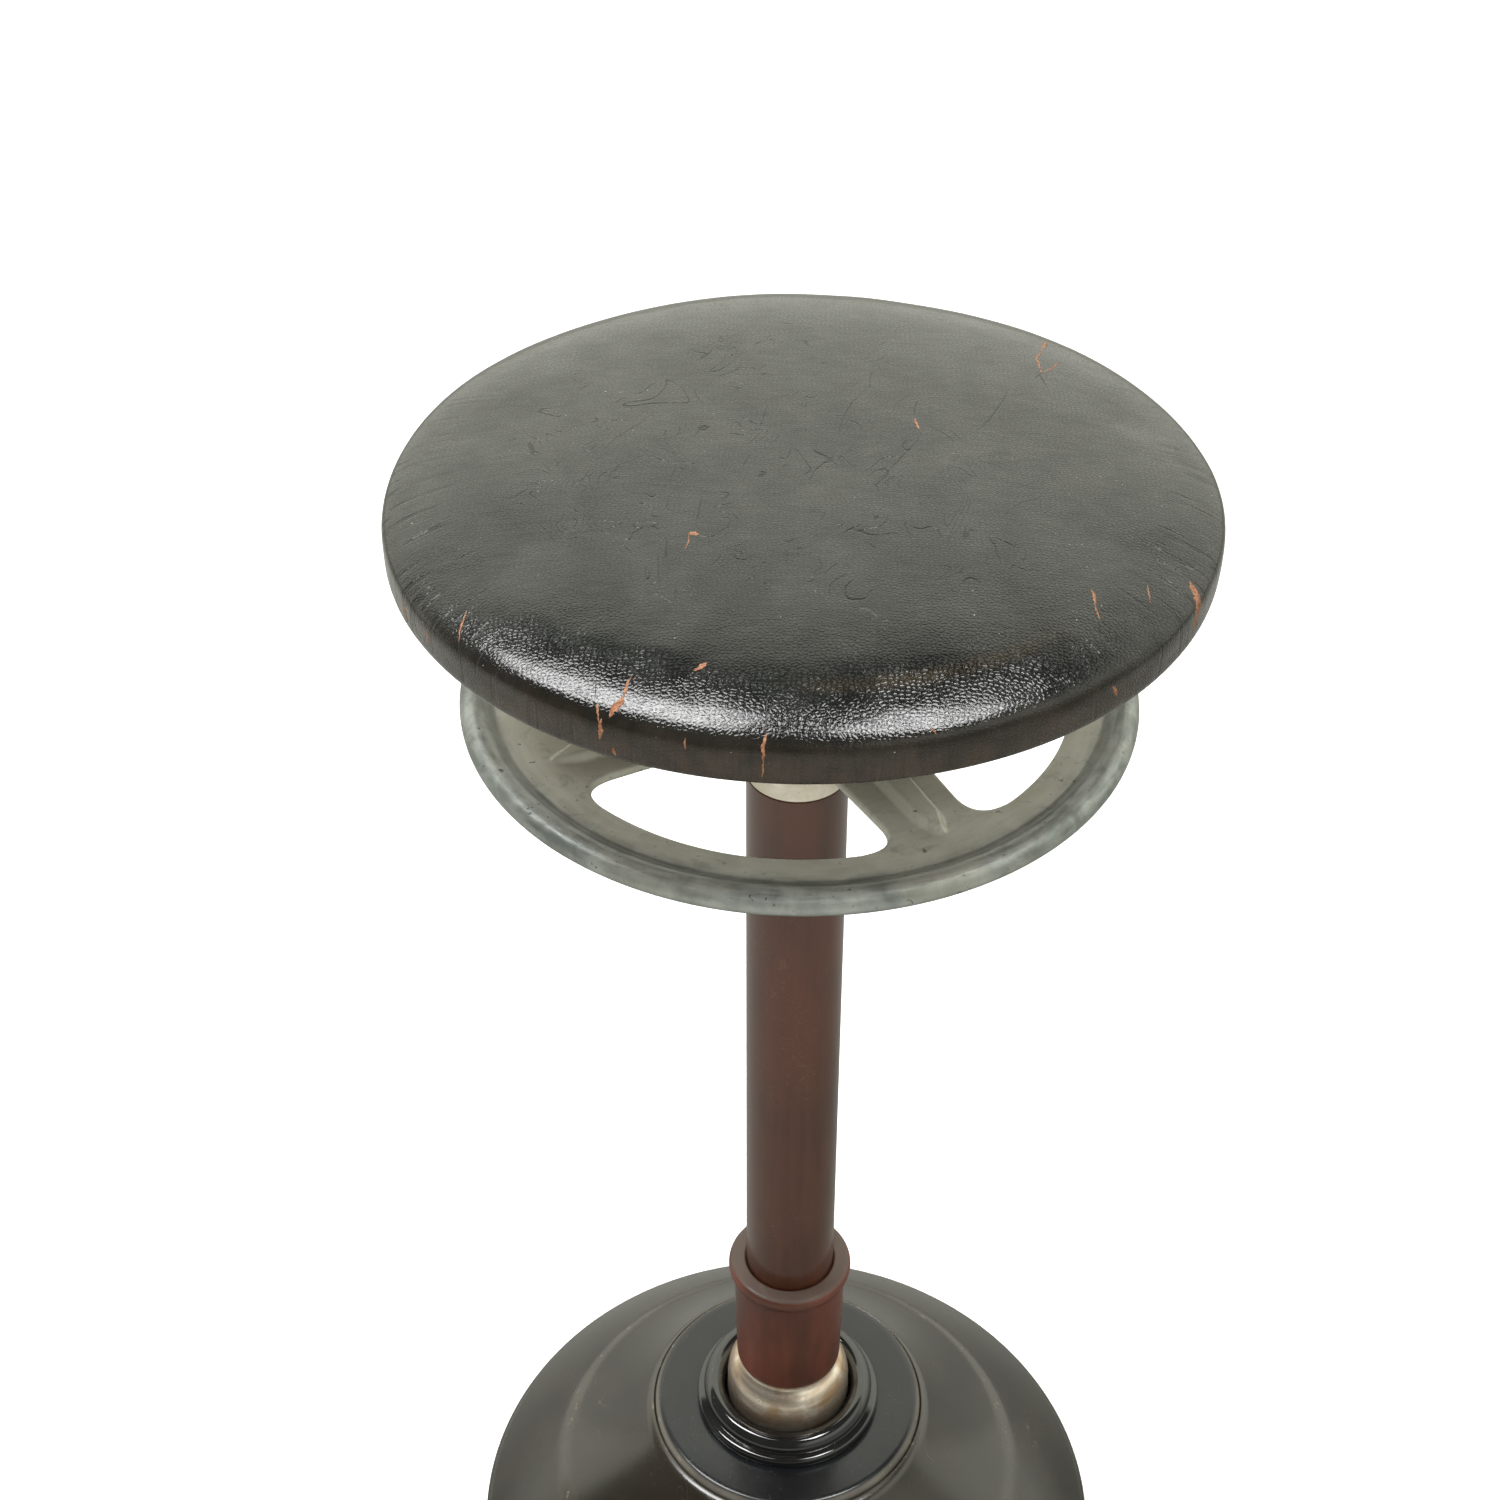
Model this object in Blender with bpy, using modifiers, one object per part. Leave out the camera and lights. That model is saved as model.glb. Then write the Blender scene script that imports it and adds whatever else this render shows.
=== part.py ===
"""Dental stool: round leather seat on a locking ram, leaning column, domed base.

Metres, +Z up, floor at z = 0, the column on the Z axis, front towards -Y.
"""
import math

import bmesh
import bpy
from mathutils import Matrix

# Driving sizes
BASE_R = 0.1832        # outer radius of the dome's rim
BASE_H = 0.1145        # floor to the top of the socket plate
TUBE_R = 0.0240        # outer radius of the brown tube
COLUMN_LEN = 0.4560    # ball centre to the top of the tube
RING_R = 0.1530        # outer radius of the lift ring
RING_RISE = 0.0490     # top of the tube to the middle of the lift ring
SEAT_RISE = 0.0860     # middle of the lift ring to the underside of the seat
SEAT_R = 0.1785        # radius of the seat at its girth
SEAT_THICK = 0.0390    # underside of the seat to the top of its crown
RING_LIFT = 0.0080     # how far the lift ring rises to free the lock

# Clearance and wall sizes
MM = 0.001
GAP = 0.3 * MM         # between pieces that touch
TUBE_WALL = 1.8 * MM
RAM_WALL = 2.5 * MM
PLATE_T = 10 * MM      # socket plate
DOME_WALL = 9 * MM     # cast dome
LEATHER_T = 2.2 * MM
BOARD_T = 12 * MM
GROOVE_TOP_Z = 10 * MM  # groove under the rim that holds the rubber ring

# Facets round a turned piece
WIDE = 40
MIDDLE = 28
SMALL = 18

# Sizes that follow from the driving ones
BALL_R = 1.4625 * TUBE_R
BALL_Z = BASE_H + 10.5 * MM
TUBE_TOP_Z = BALL_Z + COLUMN_LEN
RING_Z = TUBE_TOP_Z + RING_RISE
SEAT_Z = RING_Z + SEAT_RISE
PLATE_R = 2.211 * BALL_R
PLATE_FLOOR_Z = BASE_H - PLATE_T - GAP
DOME_ROOF_Z = PLATE_FLOOR_Z - DOME_WALL
NECK_R = BALL_R + 9.5 * MM       # threaded neck of the socket ring
CUP_R = BALL_R + 14.5 * MM       # body of the socket cup
CUP_FLANGE_R = PLATE_R - 6 * MM
CUP_FLANGE_T = 8 * MM
CUP_FLOOR_Z = BALL_Z - BALL_R - 5 * MM
SOCKET_BOLT_CIRCLE_R = 0.5 * (CUP_R + CUP_FLANGE_R) + 1.5 * MM
SOCKET_BOLT_R = 4 * MM
LINER_T = 2.5 * MM
BALL_NECK_Z = BALL_Z + 0.832 * BALL_R
TUBE_BORE_R = TUBE_R - TUBE_WALL
STUB_TOP_Z = BALL_NECK_Z + 33 * MM
SLEEVE_TOP_Z = BALL_NECK_Z + 0.1933 * (TUBE_TOP_Z - BALL_NECK_Z)
SET_SCREW_R = 3 * MM
SET_SCREW_Z = BALL_NECK_Z + 18 * MM
STUD_R = 6 * MM
RAM_R = TUBE_R - 5 * MM
RAM_BORE_R = RAM_R - RAM_WALL
BUSH_TOP_Z = TUBE_TOP_Z + 0.39 * RING_RISE
COLLAR_T = 7 * MM
HUB_R = RAM_R + 12 * MM
HUB_FLOOR_Z = BUSH_TOP_Z + GAP + COLLAR_T + GAP
HUB_TOP_Z = RING_Z + 18 * MM
PIN_R = 3 * MM
PIN_Z = RING_Z + 10 * MM
ROD_R = 5.5 * MM
ROD_TOP_Z = PIN_Z + 15 * MM
PLUG_FLOOR_Z = ROD_TOP_Z + 18 * MM
RAM_TOP_Z = SEAT_Z - 26.3 * MM
COLLET_FLOOR_Z = STUB_TOP_Z + 0.2057 * (TUBE_TOP_Z - STUB_TOP_Z)
RAM_FLOOR_Z = COLLET_FLOOR_Z + 32 * MM
SPINDLE_R = 11 * MM
SPINDLE_THREAD_R = 9 * MM
SPINDLE_FLANGE_T = 5.5 * MM
THRUST_T = 3 * MM
BOARD_Z = SEAT_Z + LEATHER_T + GAP
BOARD_R = SEAT_R - 0.5 * MM - LEATHER_T - GAP
BOARD_HOLE_R = 20 * MM
SEAT_FLANGE_TOP_Z = BOARD_Z - GAP
SEAT_FLANGE_T = 6 * MM
SEAT_FLANGE_R = 0.49 * SEAT_R
SEAT_SCREW_CIRCLE_R = 0.8 * SEAT_FLANGE_R
SEAT_SCREW_R = 2.5 * MM
SPOKES = 4
SPOKE_AZIMUTH = math.radians(30)
CROWN_POWER = 3.46     # how flat the seat's crown stays towards its edge
ROLL_POWER = 1.48      # how round its rolled edge is


# Clearing the scene and the tools that every piece uses

def clear_scene():
    for obj in list(bpy.data.objects):
        bpy.data.objects.remove(obj, do_unlink=True)


def new_collection(name):
    collection = bpy.data.collections.new(name)
    bpy.context.scene.collection.children.link(collection)
    return collection


def material(name, colour, roughness, metallic=0.0):
    mat = bpy.data.materials.new(name)
    mat.use_nodes = True
    shader = mat.node_tree.nodes["Principled BSDF"]
    shader.inputs["Base Color"].default_value = (*colour, 1.0)
    shader.inputs["Roughness"].default_value = roughness
    shader.inputs["Metallic"].default_value = metallic
    mat.diffuse_color = (*colour, 1.0)
    return mat


def pivot(name, height, parent=None):
    """An empty on a joint's axis that the moving pieces are parented to."""
    empty = bpy.data.objects.new(name, None)
    empty.empty_display_size = 0.02
    PARTS.objects.link(empty)
    empty.parent = parent
    below = parent["height"] if parent else 0.0
    empty.location.z = height - below
    empty["height"] = height
    return empty


def place(obj, parent):
    """Parent a piece drawn in floor coordinates to its pivot."""
    obj.parent = parent
    if parent:
        obj.location.z = -parent["height"]


def finish(obj, mat):
    obj.data.materials.append(mat)
    for face in obj.data.polygons:
        face.use_smooth = True


def turned(name, profile, steps, mat, parent=None, collection=None):
    """Turn a profile of (radius, height) about Z; it is closed unless it meets the axis."""
    mesh = bpy.data.meshes.new(name)
    corners = [(radius, 0.0, height) for radius, height in profile]
    sides = [(i, i + 1) for i in range(len(corners) - 1)]
    if profile[0][0] > 0 and profile[-1][0] > 0:
        sides.append((len(corners) - 1, 0))
    mesh.from_pydata(corners, sides, [])
    obj = bpy.data.objects.new(name, mesh)
    (collection or PARTS).objects.link(obj)
    screw = obj.modifiers.new("Turn", "SCREW")
    screw.axis = "Z"
    screw.steps = round(steps)
    screw.render_steps = round(steps)
    screw.use_merge_vertices = True
    screw.merge_threshold = 0.00005
    screw.use_smooth_shade = True
    mesh.materials.append(mat)
    place(obj, parent)
    return obj


def rod_between(name, radius, start, end, sides, mat, parent=None, collection=None):
    """A straight round bar from one point to another."""
    axis = end - start
    mesh = bpy.data.meshes.new(name)
    bm = bmesh.new()
    bmesh.ops.create_cone(bm, cap_ends=True, segments=sides, radius1=radius, radius2=radius,
                          depth=axis.length)
    turn = axis.to_track_quat("Z", "Y").to_matrix().to_4x4()
    bmesh.ops.transform(bm, matrix=Matrix.Translation((start + end) / 2) @ turn, verts=bm.verts)
    bm.to_mesh(mesh)
    bm.free()
    obj = bpy.data.objects.new(name, mesh)
    (collection or PARTS).objects.link(obj)
    finish(obj, mat)
    place(obj, parent)
    return obj


def coil(name, mean_r, wire_r, floor_z, top_z, turns, mat, parent):
    """A compression spring: a helix of round wire between two flat seats."""
    points_per_turn = 8
    count = int(points_per_turn * turns) + 1
    curve = bpy.data.curves.new(name, "CURVE")
    curve.dimensions = "3D"
    curve.bevel_depth = wire_r
    curve.bevel_resolution = 1
    curve.use_fill_caps = True
    spline = curve.splines.new("POLY")
    spline.points.add(count - 1)
    low = floor_z + wire_r + GAP
    rise = (top_z - floor_z) - 2 * (wire_r + GAP)
    for i, point in enumerate(spline.points):
        share = i / (count - 1)
        angle = 2 * math.pi * turns * share
        point.co = (mean_r * math.cos(angle), mean_r * math.sin(angle), low + rise * share, 1.0)
    self_gap = rise / turns - 2 * wire_r
    print(name, "least gap between turns, mm:", round(self_gap / MM, 2))
    return as_mesh(name, curve, mat, parent)


def as_mesh(name, curve, mat, parent=None, collection=None):
    """Turn a curve into a welded, closed mesh object."""
    drawn = bpy.data.objects.new(name + "_curve", curve)
    bpy.context.scene.collection.objects.link(drawn)
    shape = drawn.evaluated_get(bpy.context.evaluated_depsgraph_get())
    mesh = bpy.data.meshes.new_from_object(shape)
    bm = bmesh.new()
    bm.from_mesh(mesh)
    bmesh.ops.remove_doubles(bm, verts=bm.verts, dist=0.000001)
    bmesh.ops.recalc_face_normals(bm, faces=bm.faces)
    bm.to_mesh(mesh)
    bm.free()
    bpy.data.objects.remove(drawn, do_unlink=True)
    mesh.name = name
    mesh.materials.clear()
    obj = bpy.data.objects.new(name, mesh)
    (collection or PARTS).objects.link(obj)
    finish(obj, mat)
    place(obj, parent)
    return obj


def combine(obj, tool, operation):
    """Add or cut a tool piece with an exact Boolean, and put the tool out of sight."""
    step = obj.modifiers.new(operation.title() + " " + tool.name, "BOOLEAN")
    step.operation = operation
    step.solver = "EXACT"
    step.object = tool
    tool.hide_render = True
    tool.display_type = "WIRE"


def upright_cutter(name, radius, at, floor_z, top_z, parent=None):
    """A round cutter standing on Z at a point of the plan."""
    start = Matrix.Translation((at[0], at[1], floor_z)).to_translation()
    end = Matrix.Translation((at[0], at[1], top_z)).to_translation()
    return rod_between(name, radius, start, end, 16, CUTTER, parent, CUTTERS)


def bar_along_y(name, radius, start_y, end_y, height, mat, parent, collection=None):
    """A round bar along Y at x = 0."""
    start = Matrix.Translation((0, start_y, height)).to_translation()
    end = Matrix.Translation((0, end_y, height)).to_translation()
    return rod_between(name, radius, start, end, 16, mat, parent, collection)


def box_cutter(name, size, centre, turn, parent):
    mesh = bpy.data.meshes.new(name)
    bm = bmesh.new()
    bmesh.ops.create_cube(bm, size=1.0, matrix=Matrix.Diagonal((*size, 1.0)))
    spin = Matrix.Rotation(turn, 4, "Z")
    bmesh.ops.transform(bm, matrix=Matrix.Translation(centre) @ spin, verts=bm.verts)
    bm.to_mesh(mesh)
    bm.free()
    obj = bpy.data.objects.new(name, mesh)
    CUTTERS.objects.link(obj)
    finish(obj, CUTTER)
    place(obj, parent)
    return obj


def hex_nut(name, across, bore_r, floor_z, top_z, mat, parent):
    """A hexagon nut drawn as a flat outline with a round hole, then given its height."""
    curve = bpy.data.curves.new(name, "CURVE")
    curve.dimensions = "2D"
    curve.fill_mode = "BOTH"
    curve.extrude = (top_z - floor_z) / 2
    add_loop(curve, polar_loop(across / math.sqrt(3), 6))
    if bore_r:
        add_loop(curve, polar_loop(bore_r, 16))
    obj = as_mesh(name, curve, mat, parent)
    obj.location.z += (top_z + floor_z) / 2
    return obj


def polar_loop(radius, sides):
    count = round(sides)
    return [on_plan(radius, 2 * math.pi * i / count) for i in range(count)]


def add_loop(curve, points):
    spline = curve.splines.new("POLY")
    spline.points.add(len(points) - 1)
    for point, (x, y) in zip(spline.points, points):
        point.co = (x, y, 0.0, 1.0)
    spline.use_cyclic_u = True


def bulged(start, end, bulge, count):
    """Points of a shallow arc from start to end that stands out by bulge at its middle."""
    (r0, z0), (r1, z1) = start, end
    length = math.hypot(r1 - r0, z1 - z0)
    out_r, out_z = (z0 - z1) / length, (r1 - r0) / length
    points = []
    for i in range(count + 1):
        share = i / count
        swell = 4 * bulge * share * (1 - share)
        points.append((r0 + (r1 - r0) * share + out_r * swell, z0 + (z1 - z0) * share + out_z * swell))
    return points


def on_plan(radius, azimuth):
    return radius * math.cos(azimuth), radius * math.sin(azimuth)


# Base: dome, rubber ring, socket

def floor_ring_radii():
    return BASE_R - 16 * MM, BASE_R - 6 * MM


def dome_base():
    rim_z = 10 * MM
    rim_floor_z = 5 * MM
    lip_z = BASE_H - 4.5 * MM
    crease = (PLATE_R + 0.558 * (BASE_R - PLATE_R), rim_z + 0.44 * (BASE_H - rim_z))
    ring_in, ring_out = floor_ring_radii()
    rim_in = BASE_R - 22 * MM
    shoulder = (crease[0] - 5.5 * MM, crease[1] + 2.8 * MM)
    outside = bulged((PLATE_R + 1.6 * MM, lip_z), shoulder, -2 * MM, 5)
    outside += bulged(crease, (BASE_R, rim_z), 1 * MM, 4)
    under = bulged((PLATE_R - 2 * MM, DOME_ROOF_Z), (crease[0] - 8 * MM, crease[1] - 4 * MM), -2 * MM, 3)
    under += [(rim_in, rim_z + 8 * MM)]
    profile = [(CUP_R + GAP, PLATE_FLOOR_Z), (PLATE_R + GAP, PLATE_FLOOR_Z)]
    profile += [(PLATE_R + GAP, lip_z - 0.8 * MM)]
    profile += outside
    profile += [(BASE_R - 0.8 * MM, 6.5 * MM), (BASE_R - 2.6 * MM, rim_floor_z)]
    profile += [(ring_out, rim_floor_z), (ring_out, GROOVE_TOP_Z)]
    profile += [(ring_in, GROOVE_TOP_Z), (ring_in, rim_floor_z)]
    profile += [(rim_in, rim_floor_z)]
    profile += under[::-1]
    profile += [(CUP_R + GAP, DOME_ROOF_Z)]
    dome = turned("dome_base", profile, WIDE, BLACK_ENAMEL)
    for i, at in enumerate(socket_bolt_spots()):
        hole = upright_cutter(f"dome_hole_{i + 1}", SOCKET_BOLT_R + GAP, at, DOME_ROOF_Z - 5 * MM,
                              PLATE_FLOOR_Z + 3 * MM)
        combine(dome, hole, "DIFFERENCE")


def floor_ring():
    ring_in, ring_out = floor_ring_radii()
    ring_in += GAP
    ring_out -= GAP
    top_z = GROOVE_TOP_Z - GAP
    edge = 0.8 * MM
    profile = [(ring_in, top_z), (ring_out, top_z), (ring_out, edge), (ring_out - edge, 0.0),
               (ring_in + edge, 0.0), (ring_in, edge)]
    turned("floor_ring", profile, WIDE, RUBBER)


def socket_bolt_spots():
    return [on_plan(SOCKET_BOLT_CIRCLE_R, math.radians(45 + 90 * i)) for i in range(4)]


def socket_plate():
    edge = 3 * MM
    hole_r = NECK_R + GAP
    floor_z = BASE_H - PLATE_T
    profile = [(hole_r, BASE_H), (PLATE_R - edge, BASE_H - 0.3 * MM),
               (PLATE_R - 0.3 * edge, BASE_H - 0.35 * edge), (PLATE_R, BASE_H - edge),
               (PLATE_R, floor_z), (hole_r, floor_z)]
    plate = turned("socket_plate", profile, MIDDLE, BLACK_ENAMEL_PLATE)
    for i, at in enumerate(socket_bolt_spots()):
        hole = upright_cutter(f"plate_hole_{i + 1}", SOCKET_BOLT_R + GAP, at, floor_z - 3 * MM,
                              floor_z + 7 * MM)
        combine(plate, hole, "DIFFERENCE")


def socket_ring():
    bore_r = BALL_R + 1.5 * MM
    top_r = BALL_R + 13.8 * MM
    foot_r = BALL_R + 17.6 * MM
    low = BASE_H + GAP
    neck_floor_z = BASE_H - PLATE_T + GAP
    profile = [(bore_r, low + 9.5 * MM), (bore_r + 2.2 * MM, low + 13.6 * MM),
               (bore_r + 6.0 * MM, low + 15.2 * MM), (top_r - 2.6 * MM, low + 14.4 * MM),
               (top_r, low + 11.6 * MM), (top_r, low + 8.6 * MM),
               (top_r - 1.2 * MM, low + 6.6 * MM), (foot_r - 0.8 * MM, low + 5.4 * MM),
               (foot_r, low + 4.4 * MM), (foot_r, low + 1.0 * MM), (foot_r - 0.8 * MM, low),
               (NECK_R, low), (NECK_R, neck_floor_z), (bore_r, neck_floor_z)]
    turned("socket_ring", profile, MIDDLE, GLOSS_BLACK)


def sphere_point(radius, from_below):
    """A point of a sphere about the ball's centre, at an angle from straight down."""
    return radius * math.sin(from_below), BALL_Z - radius * math.cos(from_below)


def socket_cup():
    seat_r = BALL_R + GAP + LINER_T + GAP
    hole_r = 0.57 * BALL_R
    first = math.acos((BALL_Z - PLATE_FLOOR_Z) / seat_r)
    last = math.asin(hole_r / seat_r)
    flange_top_z = DOME_ROOF_Z - GAP
    flange_floor_z = flange_top_z - CUP_FLANGE_T
    profile = [(CUP_R, PLATE_FLOOR_Z), (CUP_R, flange_top_z), (CUP_FLANGE_R, flange_top_z),
               (CUP_FLANGE_R, flange_floor_z), (hole_r, flange_floor_z)]
    profile += [sphere_point(seat_r, last + (first - last) * i / 4) for i in range(5)]
    cup = turned("socket_cup", profile, MIDDLE, GREY_IRON)
    for i, at in enumerate(socket_bolt_spots()):
        hole = upright_cutter(f"cup_hole_{i + 1}", SOCKET_BOLT_R + GAP, at, flange_floor_z - 3 * MM,
                              flange_top_z + 3 * MM)
        combine(cup, hole, "DIFFERENCE")


def socket_bolts():
    """Hexagon bolts from below: one outline for the head, one bar for the shank."""
    head_top_z = DOME_ROOF_Z - GAP - CUP_FLANGE_T - GAP
    shank_top_z = BASE_H - PLATE_T + 6.5 * MM
    for i, (x, y) in enumerate(socket_bolt_spots()):
        profile = [(0.0, shank_top_z), (SOCKET_BOLT_R, shank_top_z), (SOCKET_BOLT_R, head_top_z),
                   (7.5 * MM, head_top_z), (7.5 * MM, head_top_z - 5 * MM), (0.0, head_top_z - 5.5 * MM)]
        bolt = turned(f"socket_bolt_{i + 1}", profile, 12, DARK_STEEL)
        bolt.location = (x, y, 0.0)


# Ball joint at the foot of the column

def ball_liner(parent):
    inner_r = BALL_R + GAP
    outer_r = inner_r + LINER_T
    low, high = math.radians(34), math.radians(55)
    steps = 4
    angles = [low + (high - low) * i / steps for i in range(steps + 1)]
    profile = [sphere_point(outer_r, a) for a in angles[::-1]]
    profile += [sphere_point(inner_r, a) for a in angles]
    turned("ball_liner", profile, MIDDLE, FIBRE, parent)


def ball_foot(parent):
    stub_r = TUBE_BORE_R - GAP
    neck_r = TUBE_R + 3.4 * MM
    bottom_r = 0.5 * BALL_R
    top_angle = math.radians(95)
    bottom_angle = math.asin(bottom_r / BALL_R)
    steps = 5
    ball = [sphere_point(BALL_R, top_angle + (bottom_angle - top_angle) * i / steps)
            for i in range(steps + 1)]
    stud_top_z = BALL_Z - 5 * MM
    stud_hole_r = STUD_R + GAP
    profile = [(0.0, STUB_TOP_Z), (stub_r - 1 * MM, STUB_TOP_Z), (stub_r, STUB_TOP_Z - 1 * MM),
               (stub_r, BALL_NECK_Z), (neck_r, BALL_NECK_Z), (neck_r - 0.3 * MM, BALL_NECK_Z - 2.4 * MM),
               (neck_r + 1.0 * MM, BALL_NECK_Z - 4.4 * MM), (neck_r + 3.8 * MM, BALL_NECK_Z - 6.6 * MM),
               (neck_r + 6.2 * MM, BALL_NECK_Z - 10.8 * MM), (BALL_R - 0.2 * MM, BALL_NECK_Z - 17.2 * MM)]
    profile += ball
    profile += [(stud_hole_r, ball[-1][1]), (stud_hole_r, stud_top_z), (0.0, stud_top_z)]
    foot = turned("ball_foot", profile, MIDDLE, WORN_STEEL, parent)
    hole = bar_along_y("foot_screw_hole", SET_SCREW_R + GAP, TUBE_BORE_R - 8 * MM, TUBE_R, SET_SCREW_Z,
                       CUTTER, parent, CUTTERS)
    combine(foot, hole, "DIFFERENCE")


def tail_washer_top_z():
    return CUP_FLOOR_Z - 34 * MM


def tail_parts(parent):
    top_z = tail_washer_top_z()
    washer_floor_z = top_z - 4 * MM
    nut_floor_z = washer_floor_z - GAP - 9 * MM
    stud_top_z = BALL_Z - 5 * MM - GAP
    stud_floor_z = nut_floor_z - 6 * MM
    stud_profile = [(0.0, stud_top_z), (STUD_R, stud_top_z), (STUD_R, stud_floor_z + 1 * MM),
                    (STUD_R - 1 * MM, stud_floor_z), (0.0, stud_floor_z)]
    turned("tail_stud", stud_profile, 16, DARK_STEEL, parent)
    hole_r = STUD_R + GAP
    washer_r = 0.8 * BALL_R
    washer_profile = [(hole_r, top_z), (washer_r, top_z),
                      (washer_r, washer_floor_z), (hole_r, washer_floor_z)]
    turned("tail_washer", washer_profile, SMALL, DARK_STEEL, parent)
    hex_nut("tail_nut", 19 * MM, hole_r, nut_floor_z, washer_floor_z - GAP, DARK_STEEL, parent)


def tail_spring():
    cup_floor_z = DOME_ROOF_Z - GAP - CUP_FLANGE_T
    coil("tail_spring", 0.68 * BALL_R, 2.2 * MM, tail_washer_top_z(), cup_floor_z, 4.5, SPRING_STEEL, None)


# Column: sleeve, tube, bush

def sleeve(parent):
    bore_r = TUBE_R + GAP
    top = SLEEVE_TOP_Z
    floor_z = BALL_NECK_Z + GAP
    profile = [(TUBE_R + 1.0 * MM, top - 0.5 * MM), (TUBE_R + 1.8 * MM, top),
               (TUBE_R + 6.6 * MM, top - 0.9 * MM), (TUBE_R + 8.4 * MM, top - 2.2 * MM),
               (TUBE_R + 9.0 * MM, top - 4.2 * MM), (TUBE_R + 9.0 * MM, top - 6.4 * MM),
               (TUBE_R + 7.6 * MM, top - 8.8 * MM), (TUBE_R + 5.6 * MM, top - 10.2 * MM),
               (TUBE_R + 5.2 * MM, top - 13.5 * MM), (TUBE_R + 4.4 * MM, floor_z + 3 * MM),
               (TUBE_R + 3.9 * MM, floor_z + 0.6 * MM), (TUBE_R + 3.2 * MM, floor_z),
               (bore_r, floor_z), (bore_r, top - 3 * MM)]
    piece = turned("sleeve", profile, MIDDLE, BROWN_ENAMEL_SLEEVE, parent)
    hole = bar_along_y("sleeve_screw_hole", SET_SCREW_R + GAP, TUBE_R - 0.5 * TUBE_WALL, TUBE_R + 12 * MM,
                       SET_SCREW_Z, CUTTER, parent, CUTTERS)
    combine(piece, hole, "DIFFERENCE")


def sleeve_set_screw(parent):
    bar_along_y("sleeve_set_screw", SET_SCREW_R, TUBE_BORE_R - 7 * MM, TUBE_R + 4 * MM, SET_SCREW_Z,
                DARK_STEEL, parent)


def outer_tube(parent):
    floor_z = BALL_NECK_Z + GAP
    profile = [(TUBE_BORE_R, TUBE_TOP_Z), (TUBE_R - 0.4 * MM, TUBE_TOP_Z), (TUBE_R, TUBE_TOP_Z - 0.4 * MM),
               (TUBE_R, floor_z), (TUBE_BORE_R, floor_z)]
    tube = turned("outer_tube", profile, MIDDLE, BROWN_ENAMEL, parent)
    hole = bar_along_y("tube_screw_hole", SET_SCREW_R + GAP, 0.5 * TUBE_R, TUBE_R + 6 * MM, SET_SCREW_Z,
                       CUTTER, parent, CUTTERS)
    combine(tube, hole, "DIFFERENCE")


def tube_top_bush(parent):
    bore_r = RAM_R + GAP
    inner_r = TUBE_BORE_R - GAP
    seat_z = TUBE_TOP_Z + GAP
    foot_z = TUBE_TOP_Z - 1.75 * TUBE_R
    profile = [(bore_r, BUSH_TOP_Z - 0.6 * MM), (bore_r + 0.6 * MM, BUSH_TOP_Z),
               (TUBE_R - 1.2 * MM, BUSH_TOP_Z), (TUBE_R - 0.3 * MM, BUSH_TOP_Z - 0.9 * MM),
               (TUBE_R - 0.3 * MM, seat_z), (inner_r, seat_z),
               (inner_r, foot_z), (bore_r, foot_z)]
    turned("tube_top_bush", profile, MIDDLE, NICKEL_BUSH, parent)


# Ram, lock and lift ring

def ram(parent):
    profile = [(RAM_BORE_R, RAM_TOP_Z), (RAM_R, RAM_TOP_Z), (RAM_R, RAM_FLOOR_Z), (RAM_BORE_R, RAM_FLOOR_Z)]
    tube = turned("ram", profile, MIDDLE, NICKEL, parent)
    slot_floor_z = PIN_Z - PIN_R - 2 * GAP
    slot_top_z = PIN_Z + PIN_R + RING_LIFT + 2 * GAP
    size = (2 * (PIN_R + GAP), 4 * RAM_R, slot_top_z - slot_floor_z)
    slot = box_cutter("ram_slot", size, (0, 0, (slot_floor_z + slot_top_z) / 2), 0.0, parent)
    combine(tube, slot, "DIFFERENCE")


def cone_radius(height):
    """Radius of the lock's cone, which widens upwards from the foot of the collet."""
    share = (height - COLLET_FLOOR_Z) / (RAM_FLOOR_Z - COLLET_FLOOR_Z)
    return 0.44 * RAM_BORE_R + 0.3 * RAM_BORE_R * share


def lock_collet(parent):
    grip_r = TUBE_BORE_R - GAP
    spigot_r = RAM_BORE_R - GAP
    shoulder_z = RAM_FLOOR_Z - GAP
    spigot_top_z = RAM_FLOOR_Z + 14 * MM
    wide_r = cone_radius(RAM_FLOOR_Z) + GAP
    narrow_r = cone_radius(COLLET_FLOOR_Z) + GAP
    profile = [(wide_r, spigot_top_z), (spigot_r, spigot_top_z), (spigot_r, shoulder_z), (grip_r, shoulder_z),
               (grip_r, COLLET_FLOOR_Z), (narrow_r, COLLET_FLOOR_Z), (wide_r, RAM_FLOOR_Z)]
    collet = turned("lock_collet", profile, SMALL, BRONZE, parent)
    slit = 1.6 * MM
    slit_top_z = shoulder_z - 6 * MM
    slit_height = 2 * (slit_top_z - COLLET_FLOOR_Z)
    for i in range(2):
        cutter = box_cutter(f"collet_slit_{i + 1}", (slit, 4 * TUBE_R, slit_height),
                            (0, 0, slit_top_z - slit_height / 2), math.radians(45 + 90 * i), parent)
        combine(collet, cutter, "DIFFERENCE")


def lift_spring(parent):
    coil("lift_spring", 0.8 * TUBE_BORE_R, 1.6 * MM, STUB_TOP_Z, COLLET_FLOOR_Z, 11, SPRING_STEEL, parent)


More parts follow.
